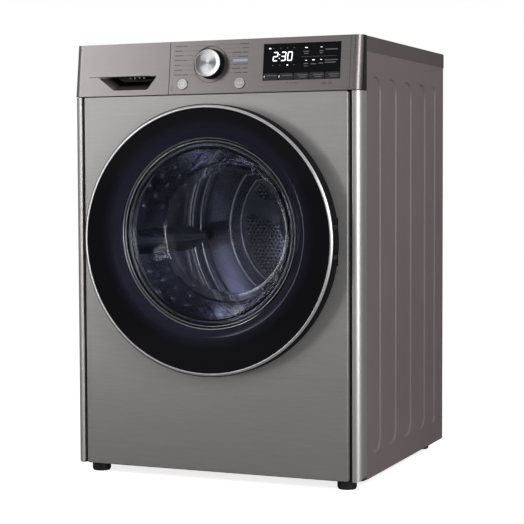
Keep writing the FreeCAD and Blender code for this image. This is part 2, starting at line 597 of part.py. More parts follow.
def front_bulkhead():
    """Front drum bearing: loading tunnel, plate, felt ledge, and the duct that holds the lint filter."""
    p0, p1 = FRONT_PLATE, FRONT_PLATE + PRESSING
    plate = box(-HALF + SHEET, HALF - SHEET, p0, p1, PLATE_BOTTOM, TRAY_Z)
    plate = plate.cut(disc(OPENING_R, 0, DRUM_Z, p0 - 1, p1 + 1))
    tunnel = ring(OPENING_R + 2.5, OPENING_R, 0, DRUM_Z, FRAME_BACK + 0.1, p1)
    ledge = ring(LEDGE_R, LEDGE_R - 2.5, 0, DRUM_Z, p1 - 0.2, p1 + LEDGE)
    d0, d1 = FRAME_BACK + 0.8, p0 + 0.2
    duct = box(-FILTER_X - 13, FILTER_X + 13, d0, d1, FILTER_Z - 20, DUCT_TOP)
    duct = duct.cut(box(-FILTER_X - 11, FILTER_X + 11, d0 + 2, d1 - 2.2, FILTER_Z - 18, DUCT_TOP + 5))
    duct = duct.cut(disc(OPENING_R + 1, 0, DRUM_Z, d0 - 1, d1 + 1))
    stops = [box(x - 8, x + 8, d0 + 1, d1 - 1, FILTER_Z - 19, FILTER_Z)
             for x in (15 - FILTER_X, FILTER_X - 15)]
    shape = fuse(plate, tunnel, ledge, duct, *stops)
    shape = shape.cut(box(-FILTER_X - 1, FILTER_X + 1, d0 + 2.6, d1 - 2.8, 200, DRUM_Z))
    for x, z in roller_centres():
        shape = shape.cut(disc(AXLE_R + 0.05, x, z, p0 - 1, p1 + 1))
    outlet = panel_xz(60, 112, FILTER_Z - 10, FILTER_Z + 60, p0 - 4, p1 + 1, 6)
    return shape.cut(outlet).removeSplitter()


def lint_filter():
    """Filter cassette in the duct; its top follows the tunnel and is slotted for the air."""
    y0, y1 = FRAME_BACK + 4.0, FRONT_PLATE - 3.2
    shape = box(-FILTER_X, FILTER_X, y0, y1, FILTER_Z, DRUM_Z)
    shape = shape.cut(box(-FILTER_X + 3, FILTER_X - 3, y0 + 2, y1 - 2, FILTER_Z + 3, DRUM_Z + 1))
    bridge = box(-FILTER_X, FILTER_X, y0, y1, FILTER_Z, DRUM_Z).common(
        ring(OPENING_R + 5, OPENING_R + 1, 0, DRUM_Z, y0 - 1, y1 + 1))
    lower = box(-FILTER_X - 5, FILTER_X + 5, y0 - 1, y1 + 1, 0, DRUM_Z - 100)
    shape = shape.cut(disc(OPENING_R + 1, 0, DRUM_Z, y0 - 1, y1 + 1)).common(lower).fuse(bridge.common(lower))
    pitch = FILTER_X * 2 / (FILTER_SLOTS + 1)
    slots = []
    for i in range(FILTER_SLOTS):
        x = (i - (FILTER_SLOTS - 1) / 2) * pitch
        half = 0.37 * pitch
        slots.append(panel_xz(x - half, x + half, DUCT_TOP - 80, DRUM_Z, y0 + 4.5, y1 - 4.5, 2))
    return shape.cut(Part.makeCompound(slots)).removeSplitter()


def roller_centres():
    reach = DRUM_R + SLIP + ROLLER_R
    angle = math.radians(ROLLER_ANGLE)
    return [(side * reach * math.sin(angle), DRUM_Z - reach * math.cos(angle)) for side in (-1, 1)]


ROLLER_FRONT_Y = FRONT_PLATE + PRESSING + 14.0
ROLLER_REAR_Y = REAR_PLATE - 14.0 - ROLLER_WIDTH


def roller(x, z, y):
    y1 = y + ROLLER_WIDTH
    bore, web, tyre = AXLE_R + 0.1, ROLLER_R - 6, ROLLER_R - 4
    profile = [(bore, y), (14, y), (16, y + 3), (web, y + 3), (tyre, y), (ROLLER_R, y),
               (ROLLER_R, y1), (tyre, y1), (web, y1 - 3), (16, y1 - 3), (14, y1), (bore, y1)]
    return turned(profile, x, z)


def roller_axles():
    pins = []
    for x, z in roller_centres():
        front = disc(AXLE_R, x, z, FRONT_PLATE, ROLLER_FRONT_Y + ROLLER_WIDTH + 4)
        rear = disc(AXLE_R, x, z, ROLLER_REAR_Y - 4, REAR_PLATE + PRESSING)
        front_collar = ring(AXLE_R + 3, AXLE_R - 1, x, z, FRONT_PLATE + PRESSING, ROLLER_FRONT_Y - 0.4)
        rear_collar = ring(AXLE_R + 3, AXLE_R - 1, x, z, ROLLER_REAR_Y + ROLLER_WIDTH + 0.4, REAR_PLATE)
        pins += [fuse(front, front_collar), fuse(rear, rear_collar)]
    return Part.makeCompound(pins)


def drum_felts():
    y0 = FRONT_PLATE + PRESSING
    front = ring(LEDGE_R + FELT, LEDGE_R + 0.05, 0, DRUM_Z, y0 + 1, y0 + LEDGE)
    rear = ring(LEDGE_R + FELT, LEDGE_R + 0.05, 0, DRUM_Z, REAR_PLATE - LEDGE, REAR_PLATE - 1)
    return Part.makeCompound([front, rear])


def drum_shell():
    """Open rolled cylinder with two stiffening beads."""
    bead, half = 3.0, 9.0
    outer = [(DRUM_IN, DRUM_FRONT), (DRUM_R, DRUM_FRONT)]
    inner = []
    for y in (Y0 + 165.0, Y0 + 420.0):
        for r, side in ((DRUM_R, outer), (DRUM_IN, inner)):
            side += [(r, y - half), (r + bead, y - half / 2), (r + bead, y + half / 2), (r, y + half)]
    profile = outer + [(DRUM_R, DRUM_BACK), (DRUM_IN, DRUM_BACK)] + inner[::-1]
    return turned(profile, 0, DRUM_Z)


def drum_lifters():
    """Three tapering paddles fixed to the shell."""
    y0, y1 = DRUM_FRONT + 26.0, DRUM_BACK - 18.0
    tip, base = DRUM_IN - LIFTER_HEIGHT, DRUM_IN + 6.0
    half = LIFTER_WIDTH / 2
    inside = disc(DRUM_IN - 0.1, 0, DRUM_Z, y0 - 1, y1 + 1)
    paddles = []
    for angle in LIFTER_ANGLES:
        points = [V(base, y0, DRUM_Z - half), V(tip, y0, DRUM_Z - 9), V(tip, y0, DRUM_Z + 9),
                  V(base, y0, DRUM_Z + half)]
        paddle = slab(points, [0, 7, 7, 0], V(0, y1 - y0, 0))
        nose = box(tip - 5, base - 2, y0 - 1, y0 + 60, DRUM_Z - 40, DRUM_Z + 40)
        nose.rotate(V(base - 6, y0, DRUM_Z), V(0, 0, 1), 48)
        paddle = paddle.cut(nose).common(inside)
        paddle.rotate(V(0, 0, DRUM_Z), V(0, 1, 0), -angle)
        paddles += paddle.Solids
    return Part.makeCompound(paddles)


GRILLE_R = 152.0
GRILLE_Y = REAR_PLATE - 9.0


def rear_bulkhead():
    """Rear drum bearing: plate, felt ledge, raised ring round the air inlet and an outer bead."""
    p0, p1, t = REAR_PLATE, REAR_PLATE + PRESSING, PRESSING
    r = GRILLE_R
    plate = box(-HALF + SHEET, HALF - SHEET, p0, p1, PLATE_BOTTOM, TRAY_Z)
    plate = plate.cut(disc(r + 30, 0, DRUM_Z, p0 - 1, p1 + 1))
    raised = turned([(r, GRILLE_Y), (r + 23, GRILLE_Y), (r + 32, p0), (r + 32, p1), (r + 29.5, p1),
                     (r + 29.5, p0 + 0.2), (r + 22, GRILLE_Y + t), (r, GRILLE_Y + t)], 0, DRUM_Z)
    seat = ring(r + 4, r - 6, 0, DRUM_Z, GRILLE_Y + t, GRILLE_Y + t + 2)
    b = DRUM_R - 38.0
    bead = turned([(b, p0 + 0.2), (b + 2, p0 - 4), (b + 7, p0 - 4), (b + 9, p0 + 0.2)], 0, DRUM_Z)
    ledge = ring(LEDGE_R, LEDGE_R - 2.5, 0, DRUM_Z, p0 - LEDGE, p0 + 0.2)
    shape = fuse(plate, raised, seat, bead, ledge)
    for x, z in roller_centres():
        shape = shape.cut(disc(AXLE_R + 0.05, x, z, p0 - 1, p1 + 1))
    return shape


def air_inlet_grille():
    """Perforated disc with a plain hub and three plain spokes."""
    shape = disc(GRILLE_R - 0.3, 0, DRUM_Z, GRILLE_Y, GRILLE_Y + PRESSING)
    holes = []
    for row in range(6):
        radius = 66.0 + 14.0 * row
        for i in range(36):
            angle = 10.0 * i + 5.0 * (row % 2)
            if min((angle - 130.0) % 120.0, (130.0 - angle) % 120.0) > 7.5:
                x, z = radius * math.cos(math.radians(angle)), radius * math.sin(math.radians(angle))
                holes.append(disc(3.6, x, DRUM_Z + z, GRILLE_Y - 1, GRILLE_Y + 4))
    shape = shape.cut(Part.makeCompound(holes))
    y0, y1 = GRILLE_Y - 5, GRILLE_Y + 0.2
    hub = turned([(0.01, y0), (40, y0), (50, y1), (0.01, y1)], 0, DRUM_Z)
    return fuse(shape, hub)


# ---------------------------------------------------------------- drive and air system
def tangent(a, b):
    """Points where the left-hand outer tangent from circle a to circle b touches them; each is (x, z, r)."""
    (ax, az, ar), (bx, bz, br) = a, b
    length = math.hypot(bx - ax, bz - az)
    turn = math.atan2(bz - az, bx - ax) - math.acos((ar - br) / length)
    nx, nz = math.cos(turn), math.sin(turn)
    return (ax + ar * nx, az + ar * nz), (bx + br * nx, bz + br * nz)


def belt_loop(grow):
    """The taut loop round drum, motor pulley and idler, anticlockwise as seen from the front."""
    circles = [(0.0, DRUM_Z, DRUM_R), (IDLER_X, IDLER_Z, IDLER_R), (MOTOR_X, MOTOR_Z, PULLEY_R)]
    circles = [(x, z, r + SLIP + grow) for x, z, r in circles]
    y = Y0 + BELT_Y - BELT_WIDTH / 2
    runs = [tangent(circles[i], circles[(i + 1) % 3]) for i in range(3)]
    edges = []
    for i, (start, end) in enumerate(runs):
        edges.append(Part.LineSegment(V(start[0], y, start[1]), V(end[0], y, end[1])).toShape())
        x, z, r = circles[(i + 1) % 3]
        leave = runs[(i + 1) % 3][0]
        first = math.atan2(end[1] - z, end[0] - x)
        last = math.atan2(leave[1] - z, leave[0] - x)
        middle = (first + ((last - first) % (2 * math.pi)) / 2)
        mid = V(x + r * math.cos(middle), y, z + r * math.sin(middle))
        edges.append(Part.Arc(V(end[0], y, end[1]), mid, V(leave[0], y, leave[1])).toShape())
    return Part.Face(Part.Wire(Part.__sortEdges__(edges))).extrude(V(0, BELT_WIDTH, 0))


def drive_belt():
    return belt_loop(BELT_THICK).cut(belt_loop(0.0))


MOTOR_Y = (Y0 + 172.0, Y0 + 272.0)
WHEEL_Y = Y0 + 88.0


def motor_housing():
    """Ribbed can with end bells, bored for the shaft, on a cradle that stands in the base pan."""
    y0, y1 = MOTOR_Y
    can = disc(MOTOR_R, MOTOR_X, MOTOR_Z, y0, y1)
    can = can.makeFillet(8.0, edges_where(can, lambda p, e: abs(p.y - y0) < 0.01 or abs(p.y - y1) < 0.01))
    ribs = [ring(MOTOR_R + 2.5, MOTOR_R - 2, MOTOR_X, MOTOR_Z, y, y + 3)
            for y in (y0 + 16 + 9 * i for i in range(8))]
    legs = [box(MOTOR_X - 45, MOTOR_X + 45, y, y + 12, PAN_FLOOR, MOTOR_Z - 30) for y in (y0 + 14, y1 - 26)]
    shape = fuse(can, *ribs, *legs)
    shape = shape.cut(disc(MOTOR_R - 6, MOTOR_X, MOTOR_Z, y0 + 6, y1 - 6))
    return shape.cut(disc(SHAFT_R + 0.1, MOTOR_X, MOTOR_Z, y0 - 1, y1 + 1))


def motor_shaft():
    """Shaft with the rotor core and the grooved belt pulley."""
    y0, y1 = MOTOR_Y
    shaft = disc(SHAFT_R, MOTOR_X, MOTOR_Z, WHEEL_Y + 8, PULLEY_BACK + 4)
    core = disc(MOTOR_R - 18, MOTOR_X, MOTOR_Z, y0 + 22, y1 - 22)
    y = Y0 + BELT_Y - BELT_WIDTH / 2
    pulley = disc(PULLEY_R, MOTOR_X, MOTOR_Z, y - 3, y + BELT_WIDTH + 3)
    flanges = [disc(PULLEY_R + 4, MOTOR_X, MOTOR_Z, a, a + 2) for a in (y - 3, y + BELT_WIDTH + 1)]
    return fuse(shaft, core, pulley, *flanges)


def blower_wheel():
    """Squirrel-cage wheel: back plate, hub, blades and a shroud ring."""
    y0, y1 = WHEEL_Y, WHEEL_Y + WHEEL_DEPTH
    plate = disc(WHEEL_R, MOTOR_X, MOTOR_Z, y1 - 2, y1)
    hub = disc(14, MOTOR_X, MOTOR_Z, y0 + 12, y1 - 1)
    shroud = ring(WHEEL_R, WHEEL_R - 14, MOTOR_X, MOTOR_Z, y0, y0 + 2)
    blade = box(MOTOR_X + WHEEL_R - 16, MOTOR_X + WHEEL_R - 1, y0 + 1, y1 - 1, MOTOR_Z - 0.8, MOTOR_Z + 0.8)
    blades = []
    count = 24
    for i in range(count):
        turned_blade = blade.copy()
        turned_blade.rotate(V(MOTOR_X + WHEEL_R - 8, 0, MOTOR_Z), V(0, 1, 0), 28)
        turned_blade.rotate(V(MOTOR_X, 0, MOTOR_Z), V(0, 1, 0), 360.0 * i / count)
        blades.append(turned_blade)
    shape = fuse(plate, hub, shroud, *blades)
    return shape.cut(disc(SHAFT_R + 0.02, MOTOR_X, MOTOR_Z, y0 - 1, y1 + 1))


def blower_housing():
    """Open drum-shaped casing with an inlet eye at the front and a side outlet."""
    y0, y1, w = WHEEL_Y - 8, WHEEL_Y + WHEEL_DEPTH + 8, 2.0
    r = WHEEL_R + 10
    shape = disc(r, MOTOR_X, MOTOR_Z, y0, y1)
    shape = fuse(shape, box(MOTOR_X - 140, MOTOR_X, y0, y1, MOTOR_Z - r, MOTOR_Z - r + 64))
    feet = [box(x, x + 20, y0, y1, PAN_FLOOR, MOTOR_Z - r + 1) for x in (MOTOR_X - 130, MOTOR_X - 20)]
    shape = fuse(shape, *feet)
    hollow = disc(r - w, MOTOR_X, MOTOR_Z, y0 + w, y1 - w)
    hollow = fuse(hollow, box(MOTOR_X - 141, MOTOR_X, y0 + w, y1 - w, MOTOR_Z - r + w, MOTOR_Z - r + 64 - w))
    shape = shape.cut(hollow).cut(disc(56, MOTOR_X, MOTOR_Z, y0 - 1, y0 + w + 1))
    return shape.cut(disc(18, MOTOR_X, MOTOR_Z, y1 - w - 1, y1 + 1))


def idler_arm():
    """Pressed lever that swings the idler; its pivot boss turns on the post's bush."""
    y0 = Y0 + BELT_Y + BELT_WIDTH / 2 + 6
    bar = slab([V(ARM_X - 9, y0, ARM_Z - 9), V(IDLER_X + 9, y0, IDLER_Z - 9), V(IDLER_X + 9, y0, IDLER_Z + 9),
                V(ARM_X - 9, y0, ARM_Z + 9)], 7, V(0, 3, 0))
    boss = disc(9, ARM_X, ARM_Z, y0 - 0.1, y0 + 14)
    pin = disc(4, IDLER_X, IDLER_Z, Y0 + BELT_Y - BELT_WIDTH / 2 - 3, y0 + 1)
    return fuse(bar, boss, pin).cut(disc(4.1, ARM_X, ARM_Z, y0 - 2, y0 + 20))


def idler_post():
    """Bracket standing in the base pan, with the pin that the idler arm swings on."""
    y0 = Y0 + BELT_Y + BELT_WIDTH / 2 + 6
    web = box(ARM_X - 12, ARM_X + 12, y0 + 15, y0 + 19, PAN_FLOOR, ARM_Z + 14)
    foot_plate = box(ARM_X - 20, ARM_X + 20, y0 + 15, y0 + 40, PAN_FLOOR, Z_BOTTOM + 6)
    return fuse(web, foot_plate, disc(4.0, ARM_X, ARM_Z, y0 - 3, y0 + 16))


def idler_pulley():
    y = Y0 + BELT_Y - BELT_WIDTH / 2
    return turned([(4.1, y - 2), (IDLER_R + 3, y - 2), (IDLER_R + 3, y - 0.5), (IDLER_R, y - 0.5),
                   (IDLER_R, y + BELT_WIDTH + 0.5), (IDLER_R + 3, y + BELT_WIDTH + 0.5),
                   (IDLER_R + 3, y + BELT_WIDTH + 2), (4.1, y + BELT_WIDTH + 2)], IDLER_X, IDLER_Z)


def coil(x0, x1, y0, y1, z0, z1, fins):
    """Finned heat exchanger: end plates, fins and straight tubes in one brazed block."""
    pitch = (x1 - x0) / (fins - 1)
    plates = [box(x0 + pitch * i - 0.5, x0 + pitch * i + 0.5, y0, y1, z0, z1) for i in range(fins)]
    tubes = [rod(4.5, (x0 - 12, y, z), (x1 + 12, y, z))
             for y in (y0 + (y1 - y0) * 0.25, y0 + (y1 - y0) * 0.75)
             for z in (z0 + (z1 - z0) * k for k in (0.2, 0.5, 0.8))]
    return fuse(*plates, *tubes)


def heat_exchangers():
    evaporator = coil(-272, -75, Y0 + 72, Y0 + 196, RIB_TOP, 172, 22)
    condenser = coil(-272, -75, Y0 + 222, Y0 + 366, RIB_TOP, 172, 22)
    return Part.makeCompound([evaporator, condenser])


def compressor():
    x, y, z0 = -190.0, Y0 + 456.0, PAN_FLOOR
    can = upright(52, x, y, z0 + 14, 166)
    can = can.makeFillet(16.0, edges_where(can, lambda p, e: abs(p.z - 166) < 0.01))
    lugs = [upright(9, x + 58 * math.cos(a), y + 58 * math.sin(a), z0, z0 + 12)
            for a in (math.radians(k) for k in (30, 150, 270))]
    skirt = upright(68, x, y, z0 + 11, z0 + 15)
    stubs = [upright(5, x + dx, y, 150, 178) for dx in (-22, 22)]
    return fuse(can, skirt, *lugs, *stubs)


PUMP_AT = (-60.0, Y0 + 470.0)


def drain_pump():
    x, y = PUMP_AT
    z0 = PAN_FLOOR
    return fuse(upright(24, x, y, z0, z0 + 34), upright(16, x, y, z0 + 33, z0 + 70),
                rod(6, (x, y, z0 + 20), (x, y + 36, z0 + 20)))


def condensate_hose():
    """Hose from the pump's spout, up behind the rear bulkhead, to above the tank's filling hole."""
    r, bend = 5.0, 22.0
    x, y_pump = PUMP_AT
    y_up = Y_BACK - 16.0
    z_out, z_top = PAN_FLOOR + 20, HEIGHT - MOULDING - r - 2
    points = [V(x, y_pump + 36.1, z_out), V(x, y_up, z_out), V(x, y_up, z_top), V(FILL_AT[0], y_up, z_top),
              V(FILL_AT[0], FILL_AT[1] + 14, z_top)]
    edges, last = [], points[0]
    for i in range(1, len(points) - 1):
        before = (points[i - 1] - points[i]).normalize()
        after = (points[i + 1] - points[i]).normalize()
        turn = min(bend, (points[i] - last).Length * 0.8)
        enter, leave = points[i] + before * turn, points[i] + after * turn
        mid = points[i] + (before + after).normalize() * (turn * (math.sqrt(2) - 1))
        edges += [Part.LineSegment(last, enter).toShape(), Part.Arc(enter, mid, leave).toShape()]
        last = leave
    edges.append(Part.LineSegment(last, points[-1]).toShape())
    path = Part.Wire(edges)
    start = points[0]
    section = Part.Wire(Part.makeCircle(r, start, V(0, 1, 0)))
    return path.makePipeShell([section], True, True)


def cord_inlet():
    """Strain-relief gland in the rear panel, with the bore that the mains lead passes through."""
    x, z = GLAND_AT
    body = disc(GLAND_BODY_R, x, z, Y_BACK - 14, Y_BACK + 12)
    flange = disc(GLAND_BODY_R + 5, x, z, Y_BACK + 0.05, Y_BACK + 4)
    flange = flange.makeFillet(1.2, edges_where(flange, lambda p, e: p.y > Y_BACK + 3.9))
    nut = ring(GLAND_BODY_R + 4, GLAND_BODY_R - 1, x, z, Y_BACK - 9, Y_BACK - SHEET - 0.05)
    return fuse(body, flange, nut).cut(disc(GLAND_BORE_R, x, z, Y_BACK - 20, Y_BACK + 20))


def drain_spigot():
    x, z = SPIGOT_AT
    tube = disc(SPIGOT_R, x, z, Y_BACK - 10, Y_BACK + 28)
    flange = disc(SPIGOT_R + 6, x, z, Y_BACK + 0.05, Y_BACK + 3)
    return fuse(tube, flange).cut(disc(SPIGOT_BORE_R, x, z, Y_BACK - 20, Y_BACK + 40))


# ---------------------------------------------------------------- door
def out(v):
    """The y of a place v in front of the front sheet."""
    return Y0 - v


GRIP_HALF = 55.0           # finger gap behind the door's left edge
SHELF_SKIRT_R = DOOR_R - 20.0


def lug_slots(x0, x1, v0, v1):
    return [box(x0, x1, out(v1), out(v0), DOOR_Z + a - 0.8, DOOR_Z + b + 0.8)
            for a, b in ((LUG_NEAR, LUG_FAR), (-LUG_FAR, -LUG_NEAR))]


def door_frame():
    """Dark outer frame: side wall with a finger gap at the left, and the shelf that holds the glass."""
    r, wall = DOOR_R, 3.0
    rim = turned([(r - wall, out(DOOR_CLEAR)), (r - 1.5, out(DOOR_CLEAR)), (r, out(DOOR_CLEAR + 2)),
                  (r, out(TRIM_BACK)), (r - wall, out(TRIM_BACK))], 0, DOOR_Z)
    shelf = disc(r - wall + 0.1, 0, DOOR_Z, out(CARRIER + 2.5), out(CARRIER))
    shelf = shelf.cut(disc(OPENING_R + 1, 0, DRUM_Z, out(CARRIER + 5), out(CARRIER - 5)))
    shape = fuse(rim, shelf)
    hinge_gap = box(HINGE_X - 14, r + 5, out(CARRIER + 4), out(CARRIER - 1), DOOR_Z - 35, DOOR_Z + 35)
    shape = shape.cut(hinge_gap.cut(ring(r + 10, r - wall, 0, DOOR_Z, out(CARRIER + 5), out(CARRIER - 5))))
    for slot in lug_slots(HINGE_X - 9, r + 5, 0, TRIM_BACK - 0.01):
        shape = shape.cut(slot)
    shape = shape.cut(upright(BARREL_R + 0.05, HINGE_X, out(HINGE_OUT), DOOR_Z - LUG_NEAR, DOOR_Z + LUG_NEAR))
    grip = box(-r - 5, -r + 26, out(CARRIER + 0.0), out(0), DOOR_Z - GRIP_HALF, DOOR_Z + GRIP_HALF)
    return shape.cut(grip).removeSplitter()


def door_trim_ring():
    r = DOOR_R
    return turned([(r - 7, out(TRIM_BACK)), (r, out(TRIM_BACK)), (r, out(TRIM_BACK + 1.5)),
                   (r - 4.5, out(DOOR_PROUD)), (r - 7, out(DOOR_PROUD))], 0, DOOR_Z, [0, 0, 0.8, 1.2, 0.6])


DISH_R = OPENING_R + 19.0  # outer edge of the dished slope
DISH_IN_R = OPENING_R - 1.0


def door_outer_cover():
    """Gloss annulus inside the trim ring, sloping in to the bowl; its opening is above the door's centre."""
    front, t = DOOR_PROUD - 1.0, 3.0
    flat = disc(DOOR_R - 7.15, 0, DOOR_Z, out(front), out(front - t))
    flat = flat.cut(disc(DISH_R - 0.01, 0, DRUM_Z, out(front + 5), out(front - t - 5)))
    low = CARRIER + 4.0
    slope = turned([(DISH_R + 1, out(front)), (DISH_R + 1, out(front - t)), (DISH_IN_R + 1.5, out(low)),
                    (DISH_IN_R - 1.5, out(low)), (DISH_IN_R - 1.5, out(low + t)), (DISH_R - 6, out(front))],
                   0, DRUM_Z, [0, 0, 0, 0, 1.0, 18.0])
    skirt = ring(SHELF_SKIRT_R + 2, SHELF_SKIRT_R, 0, DOOR_Z, out(front - t + 0.5), out(CARRIER + 2.6))
    return fuse(flat, slope, skirt)


def door_inner_frame():
    """Pale inner ring that clamps the glass bowl, with the latch hook and the hinge window."""
    r, wall = DOOR_R - 3.4, 2.5
    back = disc(r, 0, DOOR_Z, out(DOOR_CLEAR + wall), out(DOOR_CLEAR))
    rib = ring(r, r - wall, 0, DOOR_Z, out(CARRIER - 0.1), out(DOOR_CLEAR + 1))
    throat = turned([(OPENING_R - 13, out(DOOR_CLEAR + 0.1)), (OPENING_R - 9, out(DOOR_CLEAR + 0.1)),
                     (OPENING_R - 9, out(BOWL_SEAT - 2)), (OPENING_R + 6, out(BOWL_SEAT - 2)),
                     (OPENING_R + 6, out(BOWL_SEAT)), (OPENING_R - 13, out(BOWL_SEAT))], 0, DRUM_Z)
    shape = fuse(back, rib).cut(disc(OPENING_R - 11, 0, DRUM_Z, out(30), out(-5))).fuse(throat)
    x = LATCH_X[0] + 5.0
    hook = box(x, x + 8, out(DOOR_CLEAR + 1), out(-9), DOOR_Z - 5, DOOR_Z + 5)
    barb = section_xy([(x + 7.5, out(-9)), (x + 12, out(-5)), (x + 12, out(-3)), (x + 7.5, out(-3))], 0,
                      DOOR_Z - 5, DOOR_Z + 5)
    shape = shape.fuse(hook).fuse(barb)
    shape = shape.cut(box(HINGE_X - 15, r + 5, out(CARRIER + 1), out(0), DOOR_Z - 36, DOOR_Z + 36))
    grip = box(-r - 5, -DOOR_R + 26, out(CARRIER), out(0), DOOR_Z - GRIP_HALF, DOOR_Z + GRIP_HALF)
    pocket = box(-DOOR_R + 24, -DOOR_R + 28, out(CARRIER - 0.1), out(DOOR_CLEAR + 1), DOOR_Z - GRIP_HALF - 2,
                 DOOR_Z + GRIP_HALF + 2)
    shape = shape.cut(grip).fuse(pocket)
    holes = [disc(1.6, ARM_HOLES_X, z, out(20), out(0)) for z in (DOOR_Z - 14, DOOR_Z + 14)]
    return shape.cut(Part.makeCompound(holes)).removeSplitter()


ARM_HOLES_X = HINGE_X - 34.0


def door_glass_bowl():
    """Deep glass bowl that reaches into the drum."""
    seat, front = out(BOWL_SEAT), out(BOWL_SEAT + BOWL_FLANGE - 0.1)
    r = OPENING_R
    profile = [(r + 3, seat), (r - 18, seat), (r - 44, out(-78)), (r - 60, out(-88)), (0.01, out(-97)),
               (0.01, out(-92)), (r - 62, out(-83)), (r - 49, out(-74)), (r - 24, front), (r + 3, front)]
    return turned(profile, 0, DRUM_Z, [1, 4, 12, 20, 0, 0, 18, 8, 3, 1])


def hinge_arm():
    """Door half of the hinge: barrel on the pin and a plate screwed to the inner frame."""
    z0, z1 = DOOR_Z - LUG_NEAR + SLIP, DOOR_Z + LUG_NEAR - SLIP
    axis_y = out(HINGE_OUT)
    barrel = upright(BARREL_R, HINGE_X, axis_y, z0, z1)
    v0 = DOOR_CLEAR + MOULDING + 0.1
    plate = box(HINGE_X - 46, HINGE_X - 2, out(v0 + 4), out(v0), DOOR_Z - 22, DOOR_Z + 22)
    web = box(HINGE_X - 5, HINGE_X + 0.5, axis_y, out(v0), DOOR_Z - 22, DOOR_Z + 22)
    shape = fuse(barrel, plate, web)
    shape = shape.cut(upright(HINGE_PIN_R + 0.05, HINGE_X, axis_y, z0 - 5, z1 + 5))
    holes = [disc(1.6, ARM_HOLES_X, z, out(20), out(0)) for z in (DOOR_Z - 14, DOOR_Z + 14)]
    return shape.cut(Part.makeCompound(holes))


def hinge_bracket():
    """Cabinet half of the hinge: plate on the front sheet with two lugs and their pin."""
    axis_y = out(HINGE_OUT)
    plate = box(HINGE_X - 20, HINGE_X + 5, out(1.2), out(0.02), DOOR_Z - 45, DOOR_Z + 45)
    shape = plate
    for a, b in ((LUG_NEAR, LUG_FAR), (-LUG_FAR, -LUG_NEAR)):
        boss = upright(LUG_R, HINGE_X, axis_y, DOOR_Z + a, DOOR_Z + b)
        web = box(HINGE_X - LUG_R, HINGE_X + 3, axis_y, out(1), DOOR_Z + a, DOOR_Z + b)
        shape = fuse(shape, boss, web)
    shape = fuse(shape, upright(HINGE_PIN_R, HINGE_X, axis_y, DOOR_Z - LUG_FAR, DOOR_Z + LUG_FAR))
    return shape.cut(screw_holes(HINGE_SCREWS, out(5), out(-5)))


def latch_catch():
    """Catch box behind the front sheet that the door's hook snaps into."""
    y0, y1 = Y0 + 1.3, FRAME_Y - 0.1
    shape = box(LATCH_X[0] - 4, LATCH_X[1] + 3, y0, y1, DOOR_Z - 14, DOOR_Z + 14)
    return shape.cut(box(LATCH_X[0], LATCH_X[1], y0 - 1, y1 - 1, DOOR_Z - 9, DOOR_Z + 9))


# ---------------------------------------------------------------- write every node
def main():
    right = side_panel()
    export("side_panel_right", right)
    export("side_panel_left", mirrored(right))
    knob_body, knob_cap = selector_knob()
    export("knob_body", knob_body)
    export("knob_cap", knob_cap)
    for name, (x, z) in BUTTONS.items():
        export(name, button(x, z))
    for name, (x, y) in foot_places().items():
        export(name, foot(x, y))
    for side, (x, z) in zip(("left", "right"), roller_centres()):
        export("roller_front_" + side, roller(x, z, ROLLER_FRONT_Y))
        export("roller_rear_" + side, roller(x, z, ROLLER_REAR_Y))
    for make in (top_plate, rear_panel, rear_duct_cover, cabinet_screws, base_pan, front_panel, front_frame,
                 corner_trims, control_fascia, display_window, control_board, drawer_front, water_tank,
                 tank_lid, tank_tray, door_seal, front_bulkhead, lint_filter, roller_axles, drum_felts,
                 drum_shell, drum_lifters, rear_bulkhead, air_inlet_grille, drive_belt, motor_housing,
                 motor_shaft, blower_wheel, blower_housing, idler_arm, idler_post, idler_pulley,
                 heat_exchangers, compressor, drain_pump, condensate_hose, cord_inlet, drain_spigot,
                 door_frame, door_trim_ring, door_outer_cover, door_inner_frame, door_glass_bowl, hinge_arm,
                 hinge_bracket, latch_catch):
        export(make.__name__, make())


main()
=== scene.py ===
import math
import bmesh
import bpy
from mathutils import Matrix, Vector


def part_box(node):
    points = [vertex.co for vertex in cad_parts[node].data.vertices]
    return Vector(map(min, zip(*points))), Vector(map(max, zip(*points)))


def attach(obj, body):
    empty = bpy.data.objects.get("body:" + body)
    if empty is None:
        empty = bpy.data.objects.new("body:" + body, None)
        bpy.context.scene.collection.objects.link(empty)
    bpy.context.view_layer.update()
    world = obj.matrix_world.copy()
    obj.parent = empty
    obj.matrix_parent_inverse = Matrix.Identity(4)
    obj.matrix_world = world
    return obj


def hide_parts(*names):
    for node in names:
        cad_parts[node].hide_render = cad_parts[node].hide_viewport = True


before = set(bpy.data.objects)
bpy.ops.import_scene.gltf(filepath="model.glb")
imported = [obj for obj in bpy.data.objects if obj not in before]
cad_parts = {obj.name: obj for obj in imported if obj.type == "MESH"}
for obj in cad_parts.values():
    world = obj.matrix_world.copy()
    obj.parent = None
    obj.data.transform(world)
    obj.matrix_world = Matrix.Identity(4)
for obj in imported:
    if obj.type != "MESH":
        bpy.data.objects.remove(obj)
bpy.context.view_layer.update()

MM = 0.001
PRINT_THICK = 0.12 * MM
PEEL_SCALE = 700.0

# Places read from the frame
strip_low, strip_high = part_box("control_fascia")
drum_low, drum_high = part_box("drum_shell")
grille_low, grille_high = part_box("air_inlet_grille")
window_low, window_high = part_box("display_window")
cap_low, cap_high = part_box("knob_cap")
ring_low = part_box("door_trim_ring")[0]
rear_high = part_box("rear_panel")[1]
bowl_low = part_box("door_glass_bowl")[0]
lifter_low, lifter_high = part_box("drum_lifters")

